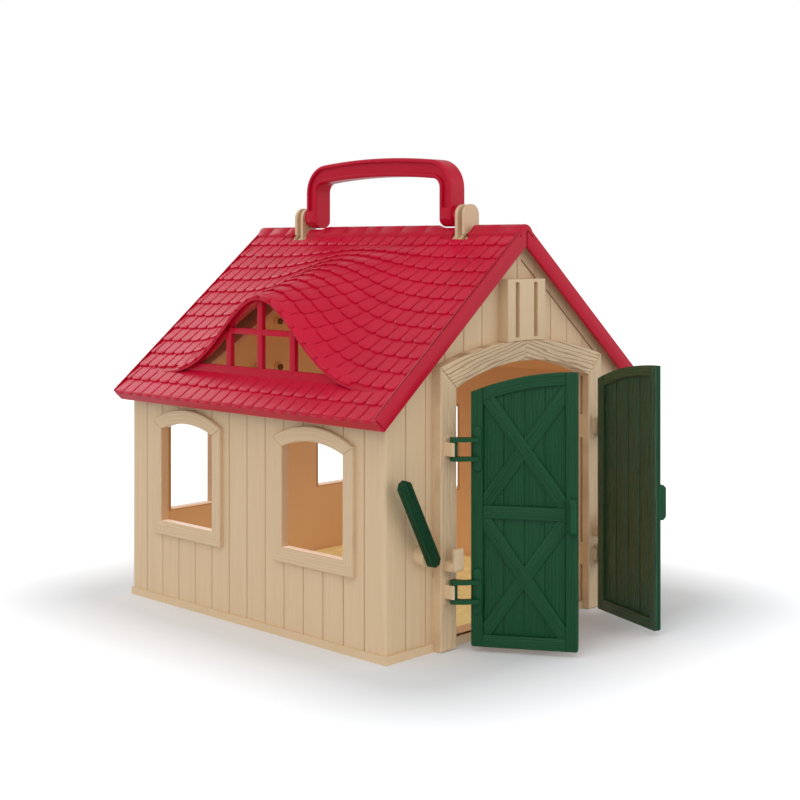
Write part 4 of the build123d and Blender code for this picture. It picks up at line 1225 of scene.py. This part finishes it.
def outer_face(shape, place):
    """Stiles, rails, planks and crossed braces of a leaf's outer face."""
    low = LEAF_LOW + STILE
    high = LEAF_HIGH - STILE
    foot = LEAF_FOOT + RAIL
    leaf = leaf_outline(LEAF_LOW, LEAF_HIGH, LEAF_FOOT, 0.0, LEAF_CORNER)
    panel(shape, cut(leaf, 1, 0, low - 0.06), BOARD_BASE, FRAME_RELIEF, STILE_BEVEL, place, 90)
    panel(shape, cut(leaf, -1, 0, -high - 0.06), BOARD_BASE, FRAME_RELIEF, STILE_BEVEL, place, 90)
    middle = band(leaf, 1, 0, low, high)
    panel(shape, cut(middle, 0, 1, foot), BOARD_BASE, FRAME_RELIEF, BOARD_BEVEL, place)
    panel(shape, band(middle, 0, 1, *MID_RAIL), BOARD_BASE, FRAME_RELIEF, BOARD_BEVEL, place)
    ribbon(shape, leaf_arc(low, high, RAIL), leaf_arc(low, high), BOARD_BASE, FRAME_RELIEF, BOARD_BEVEL,
           place)
    field = leaf_outline(low, high, foot, RAIL - 0.2)
    lower = cut(field, 0, 1, MID_RAIL[0] + 0.1)
    upper = cut(field, 0, -1, -MID_RAIL[1] + 0.1)
    for part in (lower, upper):
        for index in range(PLANKS):
            left = low + (high - low) * index / PLANKS
            right = low + (high - low) * (index + 1) / PLANKS
            plank = band(part, 1, 0, left + PLANK_GAP, right - PLANK_GAP)
            panel(shape, plank, -0.5, 0.0, 0.3, place, 90)
    spans = ((foot, MID_RAIL[0]), (MID_RAIL[1], leaf_top((low + high) / 2, RAIL) - 1.5))
    for part, (z_low, z_high) in zip((lower, upper), spans):
        run = math.atan2(z_high - z_low, high - low)
        for sign, height in ((1, RELIEF - 0.35), (-1, RELIEF)):
            a = -math.sin(run) * sign
            b = math.cos(run)
            centre = a * (low + high) / 2 + b * (z_low + z_high) / 2
            brace = band(part, a, b, centre - BRACE_HALF, centre + BRACE_HALF)
            panel(shape, brace, -0.3, height, 0.4, place, sign * math.degrees(run))


def inner_face(shape, place):
    """Rim and planks of a leaf's inner face."""
    low, high = INNER_SEAMS[0], INNER_SEAMS[-1]
    leaf = leaf_outline(LEAF_LOW, LEAF_HIGH, LEAF_FOOT, 0.0, LEAF_CORNER)
    panel(shape, cut(leaf, 1, 0, low - 0.05), BOARD_BASE, RELIEF, STILE_BEVEL, place, 90)
    panel(shape, cut(leaf, -1, 0, -high - 0.05), BOARD_BASE, RELIEF, STILE_BEVEL, place, 90)
    middle = band(leaf, 1, 0, low, high)
    panel(shape, cut(middle, 0, 1, INNER_FOOT), BOARD_BASE, RELIEF, BOARD_BEVEL, place)
    ribbon(shape, leaf_arc(low, high, INNER_RAIL), leaf_arc(low, high), BOARD_BASE, RELIEF, BOARD_BEVEL,
           place)
    field = leaf_outline(low, high, INNER_FOOT, INNER_RAIL - 0.2)
    for left, right in zip(INNER_SEAMS, INNER_SEAMS[1:]):
        plank = band(field, 1, 0, left + 0.2, right - 0.2)
        panel(shape, plank, -0.5, 0.0, 0.35, place, 90)


for label in ("left", "right"):
    leaf = Shape()
    body = f"door_{label}"
    front_depth = LEAF_FACE + FRAME_RELIEF
    back_depth = LEAF_FACE + LEAF_THICK - RELIEF
    core = leaf_outline(LEAF_LOW + 0.15, LEAF_HIGH - 0.15, LEAF_FOOT + 0.15, 0.15, LEAF_CORNER)
    front = door_place(label, front_depth, -1)
    panel(leaf, core, front_depth - back_depth - BOARD_BASE, BOARD_BASE, 0.05, front, 90)
    outer_face(leaf, front)
    leaf.finish(f"door_{label}_boards", body, board_green, "door_green", (f"door_{label}_leaf",))
    inside = Shape()
    inner_face(inside, door_place(label, back_depth, 1))
    inside.finish(f"door_{label}_inside", body, grain_and_glint_green, "door_green")


def hinge_bracket(shape, label, height):
    """Strap on the leaf with two thin arms that hold the pin, turned with the leaf."""
    low, high = height - STRAP_HALF, height + STRAP_HALF
    strap = [(STRAP[0], low), (STRAP[1], low), (STRAP[1], high), (STRAP[0], high)]
    for corner in (3, 2, 1, 0):
        strap = rounded(strap, corner, STRAP_CORNER)
    panel(shape, strap, -1.0, STRAP_TOP, 0.6, door_place(label, LEAF_FACE, -1))
    level = door_place(label, 0.0, 1)
    arm = circle(ARM_RADIUS, 15, 105, 271)
    arm += [(5.5, -2.2), (14.4, 1.6), (14.4, 4.6), (11.0, 4.6), (5.0, 2.4)]
    near, far = ARM_LEVELS
    for low, high in ((near, far), (-far, -near)):
        panel(shape, arm, low, high, 0.35, lambda a, b, h: level(a, height + h, b))
    pin = circle(HINGE_PIN, 20)
    panel(shape, pin, -HINGE_PIN_HALF, HINGE_PIN_HALF, 0.05, lambda a, b, h: level(a, height + h, b))


for label in ("left", "right"):
    brackets = Shape()
    for height in HINGE_Z:
        hinge_bracket(brackets, label, height)
    node = f"door_{label}_hinge_brackets"
    brackets.finish(node + "_made", f"door_{label}", smooth_green, "door_green", (node,))


# Latch bars


def latch_place(side, back_y):
    turn = math.radians(LATCH_TURN)

    def place(a, b, h):
        x = -LATCH_X + a * math.cos(turn) - b * math.sin(turn)
        z = LATCH_Z + a * math.sin(turn) + b * math.cos(turn)
        return (x if side < 0 else -x, back_y - h, z)

    return place


for side, label in ((-1, "left"), (1, "right")):
    bar = Shape()
    ends = (LATCH_START, LATCH_START + LATCH_CLIP, LATCH_END - LATCH_CLIP, LATCH_END)
    edge = LATCH_HALF - LATCH_CLIP
    outline = [(ends[0], -edge), (ends[1], -LATCH_HALF), (ends[2], -LATCH_HALF), (ends[3], -edge)]
    outline += [(a, -b) for a, b in outline[::-1]]
    panel(bar, outline, 0, LATCH_THICK, 1.3, latch_place(side, LATCH_BACK))
    panel(bar, circle(STUB_RADIUS, 15), 0, STUB_LENGTH, 0.3, latch_place(side, STUB_BACK))
    node = (f"latch_bar_{label}",)
    bar.finish(f"latch_{label}_bar", f"latch_{label}", latch_green, "door_green", node)


# Straw mat: many flat strands laid at random on a thin base


def straw_mat():
    low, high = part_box("straw_floor")
    x_low, y_low, z_low = (c / MM for c in low)
    x_high, y_high, z_high = (c / MM for c in high)
    shape = Shape()
    base_top = z_low + 0.9
    outline = [(x_low, y_low), (x_high, y_low), (x_high, y_high), (x_low, y_high)]
    panel(shape, outline, z_low, base_top, 0.3, lambda a, b, h: (a, b, h))
    for _ in range(STRANDS):
        angle = random.uniform(0, math.pi)
        length = random.uniform(7, 20)
        width = random.uniform(0.5, 1.0)
        x = random.uniform(x_low + 2, x_high - 2)
        y = random.uniform(y_low + 2, y_high - 2)
        height = random.uniform(base_top, z_high - 0.05)
        dx, dy = math.cos(angle), math.sin(angle)
        ends = []
        for s in (-0.5, 0, 0.5):
            px = min(max(x + dx * length * s, x_low + 0.2), x_high - 0.2)
            py = min(max(y + dy * length * s, y_low + 0.2), y_high - 0.2)
            lift = height if s == 0 else base_top - 0.1
            ends.append((px, py, lift))
        points = []
        for px, py, pz in ends:
            points.append((px - dy * width / 2, py + dx * width / 2, pz - 0.25))
            points.append((px, py, pz))
            points.append((px + dy * width / 2, py - dx * width / 2, pz - 0.25))
        faces = [(0, 1, 4, 3), (1, 2, 5, 4), (3, 4, 7, 6), (4, 5, 8, 7)]
        grain = [(i // 3 * length / 2 + x, i % 3 * 0.4 + y) for i in range(9)]
        shape.add(points, faces, grain)
    return shape


straw_mat().finish("straw_mat", "house", straw_yellow, "straw_yellow", ("straw_floor",), 60)


# Floor, light and camera, placed in metres


def lamp(name, kind, toward, place=(0, 0, 0), **settings):
    """A light at a place, turned so that `toward` points back at it from what it lights."""
    data = bpy.data.lights.new(name, kind)
    for key, value in settings.items():
        setattr(data, key, value)
    made = bpy.data.objects.new(name, data)
    bpy.context.scene.collection.objects.link(made)
    made.location = place
    made.rotation_euler = Vector(toward).to_track_quat("Z", "Y").to_euler()


FLOOR_REACH = 12.0
# Painted shadow on the floor: the glow is least near the house's footprint and rises further out
PAINTED_SHADOW_FOOTPRINT = ((0.0, 0.121), (-0.012, 0.137))
FLOOR_GLOW = ((0.025, 0.12, 0.42), (0.12, 0.4, 0.19))
PAINTED_SHADOW_GLOW = 0.02
SKY_LIGHT = 0.58
corners = [(x * FLOOR_REACH, y * FLOOR_REACH, 0) for x, y in ((-1, -1), (1, -1), (1, 1), (-1, 1))]
floor_mesh = bpy.data.meshes.new("floor")
floor_mesh.from_pydata(corners, [], [(0, 1, 2, 3)])
floor = bpy.data.objects.new("floor", floor_mesh)
bpy.context.scene.collection.objects.link(floor)

# The camera alone sees the floor glow, a little near the house's footprint and more further out: a painted
# shadow around the house
ground = Nodes("floor_white", 0.9, 0.1)
ground.shader.inputs["Base Color"].default_value = (0.84, 0.86, 0.885, 1)
path = ground.new("LightPath")
glow = ground.new("Emission")
glow.inputs["Color"].default_value = (1, 1, 1, 1)
floor_x, floor_y, _ = ground.axes()
parts = []
for axis, (middle, half) in zip((floor_x, floor_y), PAINTED_SHADOW_FOOTPRINT):
    part = ground.calc("ABSOLUTE", ground.calc("SUBTRACT", axis, middle))
    part = ground.calc("MAXIMUM", ground.calc("SUBTRACT", part, half), 0.0)
    parts.append(ground.times(part, part))
away = ground.calc("SQRT", ground.calc("ADD", parts[0], parts[1]))
power = PAINTED_SHADOW_GLOW
for near, far, rise in FLOOR_GLOW:
    step = ground.times(ground.ramp(away, near, far), rise)
    power = ground.calc("ADD", power, step)
seen_only = ground.times(path.outputs["Is Camera Ray"], power)
ground.link(seen_only, glow.inputs["Strength"])
both = ground.new("AddShader")
ground.link(ground.shader.outputs[0], both.inputs[0])
ground.link(glow.outputs[0], both.inputs[1])
ground.link(both.outputs[0], ground.tree.nodes["Material Output"].inputs["Surface"])
floor_mesh.materials.append(ground.material)

world = bpy.data.worlds.new("studio")
bpy.context.scene.world = world
world.use_nodes = True
world_tree = world.node_tree
background = world_tree.nodes["Background"]
background.inputs["Color"].default_value = (1, 1, 1, 1)
background.inputs["Strength"].default_value = SKY_LIGHT
seen = world_tree.nodes.new("ShaderNodeBackground")
seen.inputs["Color"].default_value = (1, 1, 1, 1)
seen.inputs["Strength"].default_value = 1.0
world_path = world_tree.nodes.new("ShaderNodeLightPath")
world_mix = world_tree.nodes.new("ShaderNodeMixShader")
world_tree.links.new(world_path.outputs["Is Camera Ray"], world_mix.inputs[0])
world_tree.links.new(background.outputs[0], world_mix.inputs[1])
world_tree.links.new(seen.outputs[0], world_mix.inputs[2])
world_tree.links.new(world_mix.outputs[0], world_tree.nodes["World Output"].inputs["Surface"])

lamp("key", "SUN", (-0.70, -0.25, 0.70), angle=math.radians(60), energy=0.75)
lamp("fill", "SUN", (0.5, -1.0, 0.12), angle=math.radians(70), energy=0.78)
lamp("back", "AREA", (-0.1, 1.8, 0.95), (-0.1, 1.8, 1.1), shape="DISK", size=1.2, energy=6)

camera_data = bpy.data.cameras.new("camera")
camera_data.sensor_width = 36.0
camera_data.lens = FOCAL / PICTURE * camera_data.sensor_width
camera_data.shift_y = (HORIZON - PICTURE / 2) / PICTURE
camera_data.clip_start = 0.05
camera = bpy.data.objects.new("camera", camera_data)
camera.location = Vector(CAMERA_PLACE) * MM
camera.rotation_euler = (math.radians(90), 0, math.radians(CAMERA_TURN))
bpy.context.scene.collection.objects.link(camera)
bpy.context.scene.camera = camera
bpy.context.scene.view_settings.view_transform = "Standard"
